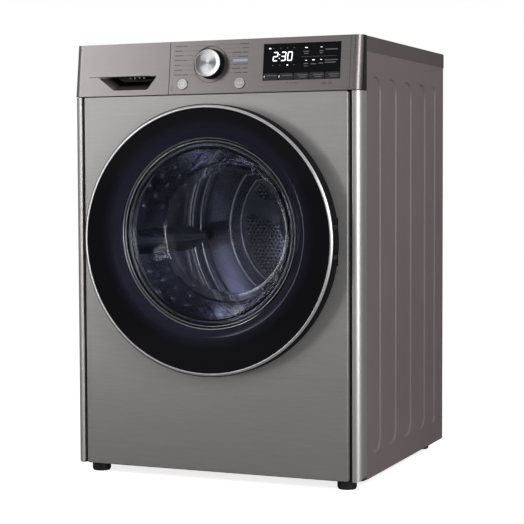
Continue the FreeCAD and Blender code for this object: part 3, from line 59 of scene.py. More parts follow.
# The control strip leans back by LEAN_RUN from its lower to its upper edge
LEAN_RUN = 13.0 * MM
STRIP_RISE = strip_high.z - strip_low.z
LEAN = math.atan2(LEAN_RUN, STRIP_RISE)
DRUM_Z = (drum_low.z + drum_high.z) / 2
KNOB_X = (cap_low.x + cap_high.x) / 2
KNOB_SEAT_DROP = 0.9 * MM
KNOB_Z = (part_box("knob_body")[0].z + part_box("knob_body")[1].z) / 2 - KNOB_SEAT_DROP


def strip_y(z):
    """The y of the leaning control strip's face at height z."""
    return strip_low.y + LEAN_RUN * (z - strip_low.z) / STRIP_RISE


# ------------------------------------------------------------------ finishes
def effect(name, inputs, outputs):
    """A shared effect's empty node group, with its named sockets."""
    group = bpy.data.node_groups.new(name, "ShaderNodeTree")
    for label, kind, value in inputs:
        socket = group.interface.new_socket(name=label, in_out="INPUT", socket_type=kind)
        if value is not None:
            socket.default_value = value
    for label, kind in outputs:
        group.interface.new_socket(name=label, in_out="OUTPUT", socket_type=kind)
    return group, group.nodes.new("NodeGroupInput"), group.nodes.new("NodeGroupOutput")


def sums(tree, operation, first, second):
    """A maths node on two sockets or numbers; returns its output."""
    node = tree.nodes.new("ShaderNodeMath")
    node.operation = operation
    for slot, value in enumerate((first, second)):
        if isinstance(value, (int, float)):
            node.inputs[slot].default_value = value
        else:
            tree.links.new(value, node.inputs[slot])
    return node.outputs[0]


def noise(tree, vector, scale, detail=2.0):
    node = tree.nodes.new("ShaderNodeTexNoise")
    node.inputs["Detail"].default_value = detail
    tree.links.new(vector, node.inputs["Vector"])
    if isinstance(scale, (int, float)):
        node.inputs["Scale"].default_value = scale
    else:
        tree.links.new(scale, node.inputs["Scale"])
    return node.outputs["Fac"]


def spread(tree, value, low, high):
    """Maps 0.3..0.7, where noise mostly lies, on to low..high."""
    node = tree.nodes.new("ShaderNodeMapRange")
    node.inputs["From Min"].default_value = 0.3
    node.inputs["From Max"].default_value = 0.7
    for label, end in (("To Min", low), ("To Max", high)):
        if isinstance(end, (int, float)):
            node.inputs[label].default_value = end
        else:
            tree.links.new(end, node.inputs[label])
    tree.links.new(value, node.inputs["Value"])
    return node.outputs["Result"]


def build_brushing():
    """Long scratches: fine grain stretched along one axis, with slow bands behind it."""
    group, given, out = effect(
        "brushing",
        [("Vector", "NodeSocketVector", None), ("Stretch", "NodeSocketVector", None),
         ("Grain Scale", "NodeSocketFloat", 900.0)],
        [("Grain", "NodeSocketFloat"), ("Band", "NodeSocketFloat")])
    scaled = group.nodes.new("ShaderNodeVectorMath")
    scaled.operation = "MULTIPLY"
    group.links.new(given.outputs["Vector"], scaled.inputs[0])
    group.links.new(given.outputs["Stretch"], scaled.inputs[1])
    group.links.new(noise(group, scaled.outputs[0], given.outputs["Grain Scale"], 4.0), out.inputs["Grain"])
    slow = sums(group, "MULTIPLY", given.outputs["Grain Scale"], 0.06)
    group.links.new(noise(group, scaled.outputs[0], slow, 2.0), out.inputs["Band"])
    return group


def build_mottle():
    """Slow cloudy change of a colour between two shades."""
    group, given, out = effect(
        "mottle",
        [("Vector", "NodeSocketVector", None), ("Scale", "NodeSocketFloat", 6.0),
         ("Dark", "NodeSocketColor", None), ("Light", "NodeSocketColor", None)],
        [("Color", "NodeSocketColor"), ("Mask", "NodeSocketFloat")])
    mask = spread(group, noise(group, given.outputs["Vector"], given.outputs["Scale"], 3.0), 0.0, 1.0)
    mix = group.nodes.new("ShaderNodeMix")
    mix.data_type = "RGBA"
    group.links.new(mask, mix.inputs["Factor"])
    group.links.new(given.outputs["Dark"], mix.inputs["A"])
    group.links.new(given.outputs["Light"], mix.inputs["B"])
    group.links.new(mix.outputs["Result"], out.inputs["Color"])
    group.links.new(mask, out.inputs["Mask"])
    return group


def build_orange_peel():
    """Paint skin: fine grain on a wider ripple, as a height, and a roughness that follows it."""
    group, given, out = effect(
        "orange_peel",
        [("Vector", "NodeSocketVector", None), ("Scale", "NodeSocketFloat", 700.0),
         ("Smooth", "NodeSocketFloat", 0.3), ("Rough", "NodeSocketFloat", 0.4)],
        [("Height", "NodeSocketFloat"), ("Roughness", "NodeSocketFloat")])
    fine = noise(group, given.outputs["Vector"], given.outputs["Scale"], 2.0)
    wide = noise(group, given.outputs["Vector"], sums(group, "MULTIPLY", given.outputs["Scale"], 0.2), 1.0)
    height = sums(group, "ADD", sums(group, "MULTIPLY", fine, 0.6), sums(group, "MULTIPLY", wide, 0.4))
    group.links.new(height, out.inputs["Height"])
    rough = spread(group, noise(group, given.outputs["Vector"], 9.0, 3.0), given.outputs["Smooth"],
                   given.outputs["Rough"])
    group.links.new(rough, out.inputs["Roughness"])
    return group


def build_settled_dust():
    """Mask for upward faces, broken up by noise."""
    group, given, out = effect(
        "settled_dust",
        [("Vector", "NodeSocketVector", None), ("Amount", "NodeSocketFloat", 0.2)],
        [("Mask", "NodeSocketFloat")])
    geometry = group.nodes.new("ShaderNodeNewGeometry")
    split = group.nodes.new("ShaderNodeSeparateXYZ")
    group.links.new(geometry.outputs["Normal"], split.inputs[0])
    upward = sums(group, "MAXIMUM", split.outputs["Z"], 0.0)
    broken = spread(group, noise(group, given.outputs["Vector"], 14.0, 5.0), 0.3, 1.0)
    settled = sums(group, "MULTIPLY", upward, broken)
    group.links.new(sums(group, "MULTIPLY", settled, given.outputs["Amount"]), out.inputs["Mask"])
    return group


EFFECTS = {"brushing": build_brushing(), "mottle": build_mottle(), "orange_peel": build_orange_peel(),
           "settled_dust": build_settled_dust()}


def use(tree, name, **values):
    """Places a shared effect in a material; a value is a socket, a number or a tuple."""
    node = tree.nodes.new("ShaderNodeGroup")
    node.node_tree = EFFECTS[name]
    for label, value in values.items():
        socket = node.inputs[label.replace("_", " ")]
        if isinstance(value, bpy.types.NodeSocket):
            tree.links.new(value, socket)
        else:
            socket.default_value = value
    return node.outputs


def blank(name):
    """A material with its shader and the piece's own coordinates."""
    material = bpy.data.materials.new(name)
    material.use_nodes = True
    tree = material.node_tree
    shader = tree.nodes["Principled BSDF"]
    coords = tree.nodes.new("ShaderNodeTexCoord").outputs["Object"]
    return material, tree, shader, coords


def raise_bump(tree, shader, height, strength, distance=0.2 * MM):
    """Feeds a height into the shader's normal."""
    bump = tree.nodes.new("ShaderNodeBump")
    bump.inputs["Strength"].default_value = strength
    bump.inputs["Distance"].default_value = distance
    tree.links.new(height, bump.inputs["Height"])
    tree.links.new(bump.outputs["Normal"], shader.inputs["Normal"])


def shade(colour, factor):
    """The colour made darker or lighter, with its alpha."""
    return tuple(min(1.0, c * factor) for c in colour) + (1.0,)


DUST_COLOUR = (0.42, 0.4, 0.37, 1.0)


def coated(name, colour, smooth, rough, vary=0.06, metallic=0.0, coat=0.0, peel=0.12, dust=0.0,
           specular=0.5, mottle_scale=5.0):
    """Paint, lacquer or moulding: a mottled colour under a fine skin, with dust on top where asked."""
    material, tree, shader, coords = blank(name)
    tone = use(tree, "mottle", Vector=coords, Scale=mottle_scale, Dark=shade(colour, 1 - vary),
               Light=shade(colour, 1 + vary))
    skin = use(tree, "orange_peel", Vector=coords, Scale=PEEL_SCALE, Smooth=smooth, Rough=rough)
    colour_out = tone["Color"]
    if dust:
        mask = use(tree, "settled_dust", Vector=coords, Amount=dust)["Mask"]
        mix = tree.nodes.new("ShaderNodeMix")
        mix.data_type = "RGBA"
        mix.inputs["B"].default_value = DUST_COLOUR
        tree.links.new(mask, mix.inputs["Factor"])
        tree.links.new(colour_out, mix.inputs["A"])
        colour_out = mix.outputs["Result"]
    tree.links.new(colour_out, shader.inputs["Base Color"])
    tree.links.new(skin["Roughness"], shader.inputs["Roughness"])
    shader.inputs["Metallic"].default_value = metallic
    shader.inputs["Coat Weight"].default_value = coat
    shader.inputs["Coat Roughness"].default_value = 0.12
    shader.inputs["Specular IOR Level"].default_value = specular
    raise_bump(tree, shader, skin["Height"], peel)
    return material


# Painted shade: a near-black mixed into the strip's recesses, stronger with depth behind its face.
RECESS_SHADE_COLOUR = (0.012, 0.010, 0.010, 1.0)
RECESS_SHADE_GAIN = 52.0


def painted_recess_shade(tree, coords, colour):
    """Painted shade: darkens whatever lies behind the leaning strip's face, more the deeper it is."""
    parts = tree.nodes.new("ShaderNodeSeparateXYZ")
    tree.links.new(coords, parts.inputs[0])
    above = sums(tree, "SUBTRACT", parts.outputs["Z"], strip_low.z)
    rise = sums(tree, "MULTIPLY", above, LEAN_RUN / STRIP_RISE)
    depth = sums(tree, "SUBTRACT", sums(tree, "SUBTRACT", parts.outputs["Y"], rise), strip_low.y)
    mix = tree.nodes.new("ShaderNodeMix")
    mix.data_type = "RGBA"
    mix.inputs["B"].default_value = RECESS_SHADE_COLOUR
    darkness = sums(tree, "MULTIPLY", depth, RECESS_SHADE_GAIN)
    tree.links.new(spread(tree, darkness, -0.03, 1.0), mix.inputs["Factor"])
    tree.links.new(colour, mix.inputs["A"])
    return mix.outputs["Result"]


def brushed(name, colour, smooth, rough, stretch=(1.0, 1.0, 60.0), grain_scale=14.0, vary=0.16,
            metallic=1.0, anisotropic=0.6, bump=0.06, tangent_axis="Z", with_recess_shade=False):
    """Metal or metal lacquer with scratches that run one way; it can also paint shade into the strip's
    recesses.
    """
    material, tree, shader, coords = blank(name)
    lines = use(tree, "brushing", Vector=coords, Stretch=stretch, Grain_Scale=grain_scale)
    grain = sums(tree, "MULTIPLY", lines["Grain"], 0.85)
    streak = sums(tree, "ADD", grain, sums(tree, "MULTIPLY", lines["Band"], 0.15))
    mix = tree.nodes.new("ShaderNodeMix")
    mix.data_type = "RGBA"
    mix.inputs["A"].default_value = shade(colour, 1 - vary)
    mix.inputs["B"].default_value = shade(colour, 1 + vary)
    tree.links.new(spread(tree, streak, 0.0, 1.0), mix.inputs["Factor"])
    # Painted shade in the recesses, when asked
    colour_out = painted_recess_shade(tree, coords, mix.outputs["Result"]) if with_recess_shade else mix.outputs["Result"]
    tree.links.new(colour_out, shader.inputs["Base Color"])
    tree.links.new(spread(tree, streak, smooth, rough), shader.inputs["Roughness"])
    shader.inputs["Metallic"].default_value = metallic
    shader.inputs["Anisotropic"].default_value = anisotropic
    tangent = tree.nodes.new("ShaderNodeTangent")
    tangent.direction_type = "RADIAL"
    tangent.axis = tangent_axis
    tree.links.new(tangent.outputs["Tangent"], shader.inputs["Tangent"])
    raise_bump(tree, shader, lines["Grain"], bump)
    return material


HALO_INNER_R = 184.0 * MM
HALO_OUTER_R = 226.0 * MM


def tinted_gloss():
    """Black lacquer behind glass, with a dark blue halo printed round the opening."""
    material, tree, shader, coords = blank("door_gloss_black")
    parts = tree.nodes.new("ShaderNodeSeparateXYZ")
    tree.links.new(coords, parts.inputs[0])
    up = sums(tree, "SUBTRACT", parts.outputs["Z"], DRUM_Z)
    squares = sums(tree, "ADD", sums(tree, "MULTIPLY", up, up),
                   sums(tree, "MULTIPLY", parts.outputs["X"], parts.outputs["X"]))
    halo = tree.nodes.new("ShaderNodeMapRange")
    halo.interpolation_type = "SMOOTHSTEP"
    tree.links.new(sums(tree, "POWER", squares, 0.5), halo.inputs["Value"])
    halo.inputs["From Min"].default_value = HALO_INNER_R
    halo.inputs["From Max"].default_value = HALO_OUTER_R
    mix = tree.nodes.new("ShaderNodeMix")
    mix.data_type = "RGBA"
    mix.inputs["A"].default_value = (0.021, 0.020, 0.039, 1.0)
    mix.inputs["B"].default_value = (0.0075, 0.0072, 0.0092, 1.0)
    tree.links.new(halo.outputs["Result"], mix.inputs["Factor"])
    tree.links.new(mix.outputs["Result"], shader.inputs["Base Color"])
    skin = use(tree, "orange_peel", Vector=coords, Scale=PEEL_SCALE, Smooth=0.03, Rough=0.06)
    tree.links.new(skin["Roughness"], shader.inputs["Roughness"])
    shader.inputs["Specular IOR Level"].default_value = 0.14
    raise_bump(tree, shader, skin["Height"], 0.01)
    return material


RING_METAL_DEPTH = 2.4 * MM
RING_BLACK_FROM = 2.9 * MM


def edged_ring():
    """Door ring: satin metal on its front edge, black behind."""
    material, tree, shader, coords = blank("trim_ring_chrome")
    parts = tree.nodes.new("ShaderNodeSeparateXYZ")
    tree.links.new(coords, parts.inputs[0])
    back = tree.nodes.new("ShaderNodeMapRange")
    tree.links.new(parts.outputs["Y"], back.inputs["Value"])
    back.inputs["From Min"].default_value = ring_low.y + RING_METAL_DEPTH
    back.inputs["From Max"].default_value = ring_low.y + RING_BLACK_FROM
    tone = use(tree, "mottle", Vector=coords, Scale=90.0, Dark=(0.84, 0.83, 0.83, 1),
               Light=(0.92, 0.91, 0.91, 1))
    mix = tree.nodes.new("ShaderNodeMix")
    mix.data_type = "RGBA"
    mix.inputs["B"].default_value = (0.006, 0.006, 0.007, 1.0)
    tree.links.new(back.outputs["Result"], mix.inputs["Factor"])
    tree.links.new(tone["Color"], mix.inputs["A"])
    tree.links.new(mix.outputs["Result"], shader.inputs["Base Color"])
    tree.links.new(spread(tree, back.outputs["Result"], 0.32, 0.6), shader.inputs["Roughness"])
    shader.inputs["Metallic"].default_value = 0.85
    return material


def clear_glass(name, tint, roughness=0.02):
    """Thick clear glass with faint smears in its polish."""
    material, tree, shader, coords = blank(name)
    shader.inputs["Base Color"].default_value = tint
    shader.inputs["Transmission Weight"].default_value = 1.0
    shader.inputs["IOR"].default_value = 1.46
    smear = spread(tree, noise(tree, coords, 7.0, 3.0), roughness, roughness + 0.03)
    tree.links.new(smear, shader.inputs["Roughness"])
    return material


def glowing(name, colour, strength):
    """Lit mark: printed white that also shines a little."""
    material, tree, shader, coords = blank(name)
    tone = use(tree, "mottle", Vector=coords, Scale=300.0, Dark=shade(colour, 0.92),
               Light=shade(colour, 1.0))
    tree.links.new(tone["Color"], shader.inputs["Base Color"])
    tree.links.new(tone["Color"], shader.inputs["Emission Color"])
    shader.inputs["Emission Strength"].default_value = strength
    shader.inputs["Roughness"].default_value = 0.4
    return material


def spun_metal():
    """Knob face: rings from the lathe, along the piece's own polar map."""
    material, tree, shader, _ = blank("spun_metal")
    polar = tree.nodes.new("ShaderNodeUVMap")
    polar.uv_map = "polar"
    rings = use(tree, "brushing", Vector=polar.outputs["UV"], Stretch=(0.6, 60.0, 1.0), Grain_Scale=6.0)
    mix = tree.nodes.new("ShaderNodeMix")
    mix.data_type = "RGBA"
    mix.inputs["A"].default_value = (0.50, 0.49, 0.50, 1.0)
    mix.inputs["B"].default_value = (0.68, 0.67, 0.68, 1.0)
    tree.links.new(spread(tree, rings["Grain"], 0.0, 1.0), mix.inputs["Factor"])
    tree.links.new(mix.outputs["Result"], shader.inputs["Base Color"])
    tree.links.new(spread(tree, rings["Grain"], 0.22, 0.34), shader.inputs["Roughness"])
    shader.inputs["Metallic"].default_value = 1.0
    shader.inputs["Anisotropic"].default_value = 0.9
    tangent = tree.nodes.new("ShaderNodeTangent")
    tangent.direction_type = "UV_MAP"
    tangent.uv_map = "polar"
    tree.links.new(tangent.outputs["Tangent"], shader.inputs["Tangent"])
    return material


def woven_felt():
    """Pressed wool: matted fibres."""
    material, tree, shader, coords = blank("wool_felt")
    tone = use(tree, "mottle", Vector=coords, Scale=220.0, Dark=(0.5, 0.48, 0.44, 1),
               Light=(0.7, 0.68, 0.63, 1))
    tree.links.new(tone["Color"], shader.inputs["Base Color"])
    shader.inputs["Roughness"].default_value = 0.95
    shader.inputs["Sheen Weight"].default_value = 0.3
    raise_bump(tree, shader, tone["Mask"], 0.5, 0.6 * MM)
    return material


FINISH = {
    "front_sheet": brushed("front_sheet_steel", (0.42, 0.41, 0.405), 0.36, 0.46, stretch=(1.0, 1.0, 48.0),
                           grain_scale=24.0, vary=0.08, metallic=0.72, bump=0.05),
    # The strip's finish paints shade wherever it lies behind the strip's face, such as in the finger
    # pocket.
    "strip": brushed("strip_silver", (0.262, 0.240, 0.239), 0.30, 0.40, stretch=(1.0, 1.0, 60.0),
                     grain_scale=24.0, vary=0.05, metallic=0.85, anisotropic=0.3, bump=0.03, with_recess_shade=True),
    # Corner trims: silver made lighter than the strip's, a painted highlight along the rounding.
    "corner": brushed("corner_silver", (0.66, 0.64, 0.63), 0.42, 0.48, stretch=(1.0, 1.0, 60.0),
                      grain_scale=24.0, vary=0.02, metallic=0.9, anisotropic=0.0, bump=0.0),
    "cabinet": coated("cabinet_grey_paint", (0.25, 0.205, 0.208), 0.40, 0.50, vary=0.04, metallic=0.25,
                      specular=0.3, dust=0.04),
    "worktop": coated("worktop_grey_paint", (0.15, 0.125, 0.125), 0.44, 0.54, vary=0.04, metallic=0.2,
                      specular=0.2),
    "zinc": coated("zinc_plate", (0.46, 0.47, 0.48), 0.38, 0.55, vary=0.09, metallic=0.6, mottle_scale=38.0,
                   peel=0.08),
    "black_steel": coated("black_frame_paint", (0.012, 0.012, 0.013), 0.4, 0.55, vary=0.1),
    "gloss_black": tinted_gloss(),
    # Light steel that paints glints and highlights on the beads and the inlet bosses.
    "painted_glint_steel": brushed("painted_glint_steel", (0.72, 0.74, 0.80), 0.16, 0.26, stretch=(8.0, 8.0, 8.0),
                           grain_scale=40.0, vary=0.05, metallic=0.7, anisotropic=0.0, bump=0.02),
    "door_dark": coated("door_rim_dark", (0.006, 0.006, 0.007), 0.55, 0.65, vary=0.08, peel=0.1,
                        specular=0.10),
    "chrome": edged_ring(),
    "light_moulding": coated("light_moulding", (0.34, 0.35, 0.36), 0.42, 0.55, vary=0.05, peel=0.2),
    "dark_moulding": coated("dark_moulding", (0.03, 0.03, 0.032), 0.42, 0.55, vary=0.08, peel=0.22),
    "bowl_glass": clear_glass("bowl_glass", (0.62, 0.63, 0.71, 1.0)),
    "window": coated("display_smoked", (0.006, 0.006, 0.007), 0.10, 0.16, vary=0.1, peel=0.01,
                     specular=0.2),
    "drum": brushed("drum_steel", (0.24, 0.25, 0.31), 0.12, 0.22, stretch=(1.0, 40.0, 1.0),
                    grain_scale=20.0, vary=0.08, anisotropic=0.4, bump=0.03, tangent_axis="Y"),
    # Dimples: the drum's steel made lighter, a painted glint on each drop.
    "dimple": brushed("dimple_glint_steel", (0.34, 0.35, 0.40), 0.18, 0.26, stretch=(8.0, 8.0, 8.0),
                      grain_scale=30.0, vary=0.06, metallic=0.75, anisotropic=0.0, bump=0.02),
    "lifter": coated("lifter_moulding", (0.045, 0.05, 0.065), 0.25, 0.38, vary=0.05),
    "rubber": coated("seal_rubber", (0.03, 0.03, 0.032), 0.5, 0.68, vary=0.12, peel=0.2),
    "felt": woven_felt(),
    "belt": coated("belt_rubber", (0.012, 0.012, 0.012), 0.6, 0.75, vary=0.15, peel=0.3),
    "foot": coated("foot_black", (0.012, 0.012, 0.012), 0.42, 0.6, vary=0.1, peel=0.25, dust=0.08),
    "tank": coated("tank_plastic", (0.62, 0.66, 0.68), 0.32, 0.42, vary=0.04, peel=0.15),
    "steel": brushed("bright_steel", (0.52, 0.52, 0.52), 0.22, 0.36, stretch=(10.0, 10.0, 10.0), vary=0.08),
    "enamel": coated("black_enamel", (0.012, 0.012, 0.014), 0.16, 0.28, vary=0.1, coat=0.3),
    "board": coated("board_resist", (0.012, 0.10, 0.045), 0.3, 0.45, vary=0.2, mottle_scale=60.0),
    "fins": brushed("fin_aluminium", (0.6, 0.61, 0.62), 0.25, 0.4, stretch=(1.0, 1.0, 30.0), vary=0.08),
    "spun": spun_metal(),
    "button": brushed("button_satin", (0.44, 0.43, 0.43), 0.26, 0.36, stretch=(1.0, 1.0, 40.0),
                      grain_scale=40.0, vary=0.05),
    "print_grey": coated("print_grey", (0.055, 0.052, 0.05), 0.4, 0.5, vary=0.05),
    "print_light": coated("print_light", (0.82, 0.81, 0.80), 0.4, 0.5, vary=0.03),
    "print_blue": coated("print_blue", (0.42, 0.52, 0.66), 0.4, 0.5, vary=0.03),
    "print_dim": coated("print_dim", (0.16, 0.16, 0.165), 0.4, 0.5, vary=0.05),
    "lit": glowing("lit_marks", (0.95, 0.97, 1.0), 1.6),
    "touch": coated("touch_band_grey", (0.036, 0.035, 0.036), 0.3, 0.4, vary=0.1, specular=0.2),
}

NODE_FINISH = {
    "front_sheet": ["front_panel"], "strip": ["control_fascia", "drawer_front"], "corner": ["corner_trims"],
    "cabinet": ["side_panel_left", "side_panel_right"], "worktop": ["top_plate"],
    "zinc": ["rear_panel", "rear_duct_cover", "front_bulkhead"],
    "black_steel": ["front_frame", "hinge_arm", "hinge_bracket"],
    "gloss_black": ["door_outer_cover"], "door_dark": ["door_frame", "knob_body"],
    "chrome": ["door_trim_ring"],
    "light_moulding": ["lint_filter", "door_inner_frame", "blower_housing", "drain_pump", "condensate_hose",
                       "drain_spigot"],
    "dark_moulding": ["base_pan", "tank_tray", "blower_wheel", "idler_pulley", "latch_catch"],
    "bowl_glass": ["door_glass_bowl"], "window": ["display_window"],
    "drum": ["drum_shell", "air_inlet_grille", "rear_bulkhead"], "lifter": ["drum_lifters"],
    "rubber": ["door_seal", "roller_front_left", "roller_front_right", "roller_rear_left",
               "roller_rear_right"],
    "felt": ["drum_felts"], "belt": ["drive_belt"],
    "foot": ["foot_front_left", "foot_front_right", "foot_rear_left", "foot_rear_right", "cord_inlet"],
    "tank": ["water_tank", "tank_lid"],
    "steel": ["cabinet_screws", "roller_axles", "motor_housing", "motor_shaft", "idler_arm", "idler_post"],
    "enamel": ["compressor"], "board": ["control_board"], "fins": ["heat_exchangers"],
    "button": ["power_button", "start_button", "knob_cap"],
}

for finish_name, node_names in NODE_FINISH.items():
    for node_name in node_names:
        node_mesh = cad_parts[node_name].data
        node_mesh.materials.clear()
        node_mesh.materials.append(FINISH[finish_name])


# ------------------------------------------------------------------ bench work
def deselect():
    bpy.ops.object.select_all(action="DESELECT")


def hold(obj):
    """Only obj selected and active."""
    deselect()
    obj.select_set(True)
    bpy.context.view_layer.objects.active = obj
    return obj


def pick(obj, test, kind="FACE"):
    """Enters edit mode with only the faces, edges or vertices that pass test selected."""
    hold(obj)
    bpy.ops.object.mode_set(mode="EDIT")
    bpy.ops.mesh.select_mode(type=kind)
    bpy.ops.mesh.select_all(action="DESELECT")
    mesh = bmesh.from_edit_mesh(obj.data)
    parts = {"FACE": mesh.faces, "EDGE": mesh.edges, "VERT": mesh.verts}[kind]
    for part in parts:
        part.select_set(bool(test(part)))
    mesh.select_flush_mode()
    bmesh.update_edit_mesh(obj.data)


def done():
    """Leaves edit mode."""
    bpy.ops.object.mode_set(mode="OBJECT")


def apply_all(obj):
    """Puts the object's place, turn, scale and modifiers into its mesh."""
    hold(obj)
    bpy.ops.object.transform_apply(location=True, rotation=True, scale=True)
    for modifier in list(obj.modifiers):
        bpy.ops.object.modifier_apply(modifier=modifier.name)


def round_edges(obj, width, segments=2, angle=35.0):
    """Rounds the edges sharper than the angle."""
    modifier = obj.modifiers.new("rounding", "BEVEL")
    modifier.width = width
    modifier.segments = segments
    modifier.limit_method = "ANGLE"
    modifier.angle_limit = math.radians(angle)
    apply_all(obj)


def join(parts):
    """Joins the pieces into the first one."""
    deselect()
    for part in parts:
        part.select_set(True)
    bpy.context.view_layer.objects.active = parts[0]
    if len(parts) > 1:
        bpy.ops.object.join()
    return parts[0]


def settle(obj, name, finish, body, smooth=35.0):
    """Bakes the piece's place into its mesh, names it, and rides it on its body."""
    apply_all(obj)
    obj.name = name
    obj.data.name = name
    obj.data.materials.clear()
    obj.data.materials.append(FINISH[finish])
    bpy.ops.object.shade_smooth_by_angle(angle=math.radians(smooth))
    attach(obj, body)
    return obj


def twin(obj, place):
    """A copy with its own mesh, moved by place."""
    copy = obj.copy()
    copy.data = obj.data.copy()
    bpy.context.scene.collection.objects.link(copy)
    copy.data.transform(place)
    return copy


def on_strip(x, z, lift):
    """Turns a piece drawn flat, its back at z = 0, to lie on the leaning strip at (x, z)."""
    spot = Vector((x, strip_y(z) - lift * math.cos(LEAN), z + lift * math.sin(LEAN)))
    return Matrix.Translation(spot) @ Matrix.Rotation(math.pi / 2 - LEAN, 4, "X")


def tab(width, height, thick=PRINT_THICK):
    """A flat printed tab with clipped corners, its back at z = 0."""
    bpy.ops.mesh.primitive_cube_add(size=1.0, location=(0, 0, thick / 2))
    piece = bpy.context.object
    piece.scale = (width, height, thick)
    apply_all(piece)
    pick(piece, lambda e: abs(e.verts[0].co.z - e.verts[1].co.z) > thick / 2, "EDGE")
    bpy.ops.mesh.bevel(offset=min(width, height) * 0.3, segments=2)
    done()
    return piece


def tabs_on_strip(places, lift, name, finish, body):
    """Tabs at (x, z, width, height), joined into one printed layer."""
    pieces = []
    for x, z, width, height in places:
        piece = tab(width * MM, height * MM)
        piece.data.transform(on_strip(x * MM, z * MM, lift))
        pieces.append(piece)
    return settle(join(pieces), name, finish, body)


# ------------------------------------------------------------------ control strip
# Sizes and places of printed marks are in millimetres
LABEL_ROWS_LEFT = [840.5, 831.4, 822.3, 813.2, 803.6, 794.4, 785.2]
LABEL_WIDTHS_LEFT = [27.0, 16.0, 18.0, 26.0, 14.0, 17.0, 30.0]
LABEL_ROWS_RIGHT = [841.0, 833.0, 824.8, 817.0, 809.6, 802.2, 794.4, 786.0]
LABEL_WIDTHS_RIGHT = [19.0, 12.0, 33.0, 20.0, 30.0, 31.0, 33.0, 27.0]
LABELS_LEFT_X = -81.0
LABELS_RIGHT_X = 73.0
LABEL_HEIGHT = 1.5
LEADER_HEIGHT = 0.35
LEADER_GAP = 2
PILL = (57.5, 809.6, 30.0, 4.6)
PILL_ROW = 4
SMALL_MARKS = [(-84.5, 762.5, 3.4, 1.2), (-84.5, 759.0, 3.4, 1.2), (-84.5, 755.5, 3.4, 1.2),
               (155.0, 763.5, 6.0, 1.0), (163.0, 763.5, 6.0, 1.0), (171.0, 763.5, 6.0, 1.0),
               (228.0, 762.5, 9.0, 1.0), (228.0, 760.0, 9.0, 1.0), (240.0, 762.5, 8.0, 1.0),
               (240.0, 760.0, 6.0, 1.0)]
GRIP_LINE = (-200.0, 785.4, 136.0, 1.0)
DIAL_R = 35.5
DIAL_GAP = 2.5
LEAST_REACH = 8.0


def leader(z, side):
    """The x where the dial's ring is met at height z, on the left (-1) or the right (1)."""
    drop = z - KNOB_Z / MM
    reach = math.sqrt(max(DIAL_R ** 2 - drop ** 2, LEAST_REACH ** 2))
    return KNOB_X / MM + side * (reach + DIAL_GAP)


def label(x, z, width, longest):
    """One programme's name from x, as one bar, or as two when it is wider than longest."""
    bars = []
    for share in ([0.56, 0.36] if width > longest else [1.0]):
        bars.append((x + width * share / 2, z, width * share, LABEL_HEIGHT))
        x += width * (share + 0.08)
    return bars, x


def programme_marks():
    labels, leaders = [], []
    for z, width in zip(LABEL_ROWS_LEFT, LABEL_WIDTHS_LEFT):
        bars, end = label(LABELS_LEFT_X, z, width, 20)
        labels += bars
        start = end + LEADER_GAP
        leaders.append(((start + leader(z, -1)) / 2, z, leader(z, -1) - start, LEADER_HEIGHT))
    for row, (z, width) in enumerate(zip(LABEL_ROWS_RIGHT, LABEL_WIDTHS_RIGHT)):
        if row != PILL_ROW:
            labels += label(LABELS_RIGHT_X - width, z, width, 22)[0]
        start = leader(z, 1)
        end = LABELS_RIGHT_X - width - LEADER_GAP
        if end > start + 1:
            leaders.append(((start + end) / 2, z, end - start, LEADER_HEIGHT))
    tabs_on_strip(labels, 0, "programme_marks", "print_grey", "cabinet")
    tabs_on_strip(leaders, 0, "programme_leaders", "print_grey", "cabinet")
    tabs_on_strip([PILL], 0, "programme_pill", "print_blue", "cabinet")
    tabs_on_strip(SMALL_MARKS, 0, "strip_small_marks", "print_grey", "cabinet")


def flat_ring(radius, width, thick, x, z, lift, name, finish, body):
    """A thin ring lying on the strip."""
    bpy.ops.mesh.primitive_cylinder_add(vertices=96, radius=radius, depth=thick, location=(0, 0, thick / 2))
    piece = bpy.context.object
    apply_all(piece)
    pick(piece, lambda f: abs(f.normal.z) > 0.9)
    bpy.ops.mesh.inset(thickness=width)
    bpy.ops.mesh.bridge_edge_loops()
    done()
    piece.data.transform(on_strip(x, z, lift))
    return settle(piece, name, finish, body)


CAP_THICK = 1.2 * MM
CAP_LIFT = 15.8 * MM
DISH_STEPS = ((1.2, -0.35), (8.0, -0.12), (8.0, -0.05), (7.4, 0.0))


def knob_face():
    """Spun cap: shallow dish inside a rolled rim, with a polar map for its lathe rings."""
    radius = (cap_high.x - cap_low.x) / 2
    bpy.ops.mesh.primitive_cylinder_add(vertices=128, radius=radius, depth=CAP_THICK,
                                        location=(0, 0, CAP_THICK / 2))
    piece = bpy.context.object
    apply_all(piece)
    pick(piece, lambda f: f.normal.z > 0.9)
    bpy.ops.mesh.inset(thickness=1.3 * MM)
    for step, drop in DISH_STEPS:
        bpy.ops.mesh.inset(thickness=step * MM)
        bpy.ops.transform.translate(value=(0, 0, drop * MM))
    done()

    def on_rim(vertex):
        return abs(vertex.co.z - CAP_THICK) < 1e-6 and abs(vertex.co.xy.length - radius) < 1e-5

    pick(piece, lambda e: all(on_rim(v) for v in e.verts), "EDGE")
    bpy.ops.mesh.bevel(offset=0.7 * MM, segments=4)
    done()
    layer = piece.data.uv_layers.new(name="polar")
    for polygon in piece.data.polygons:
        middle = math.atan2(polygon.center.y, polygon.center.x)
        for loop in polygon.loop_indices:
            spot = piece.data.vertices[piece.data.loops[loop].vertex_index].co
            turn = math.atan2(spot.y, spot.x) if spot.xy.length > 1e-7 else middle
            turn += 2 * math.pi * round((middle - turn) / (2 * math.pi))
            layer.data[loop].uv = (turn * 4.0, spot.xy.length / radius)
    piece.data.transform(on_strip(KNOB_X, KNOB_Z, CAP_LIFT))
    settle(piece, "knob_face", "spun", "selector")
    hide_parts("knob_cap")


KEY_Z = {"power_button": 767.0 * MM, "start_button": 766.0 * MM}
KEY_LIFT = 2.0 * MM


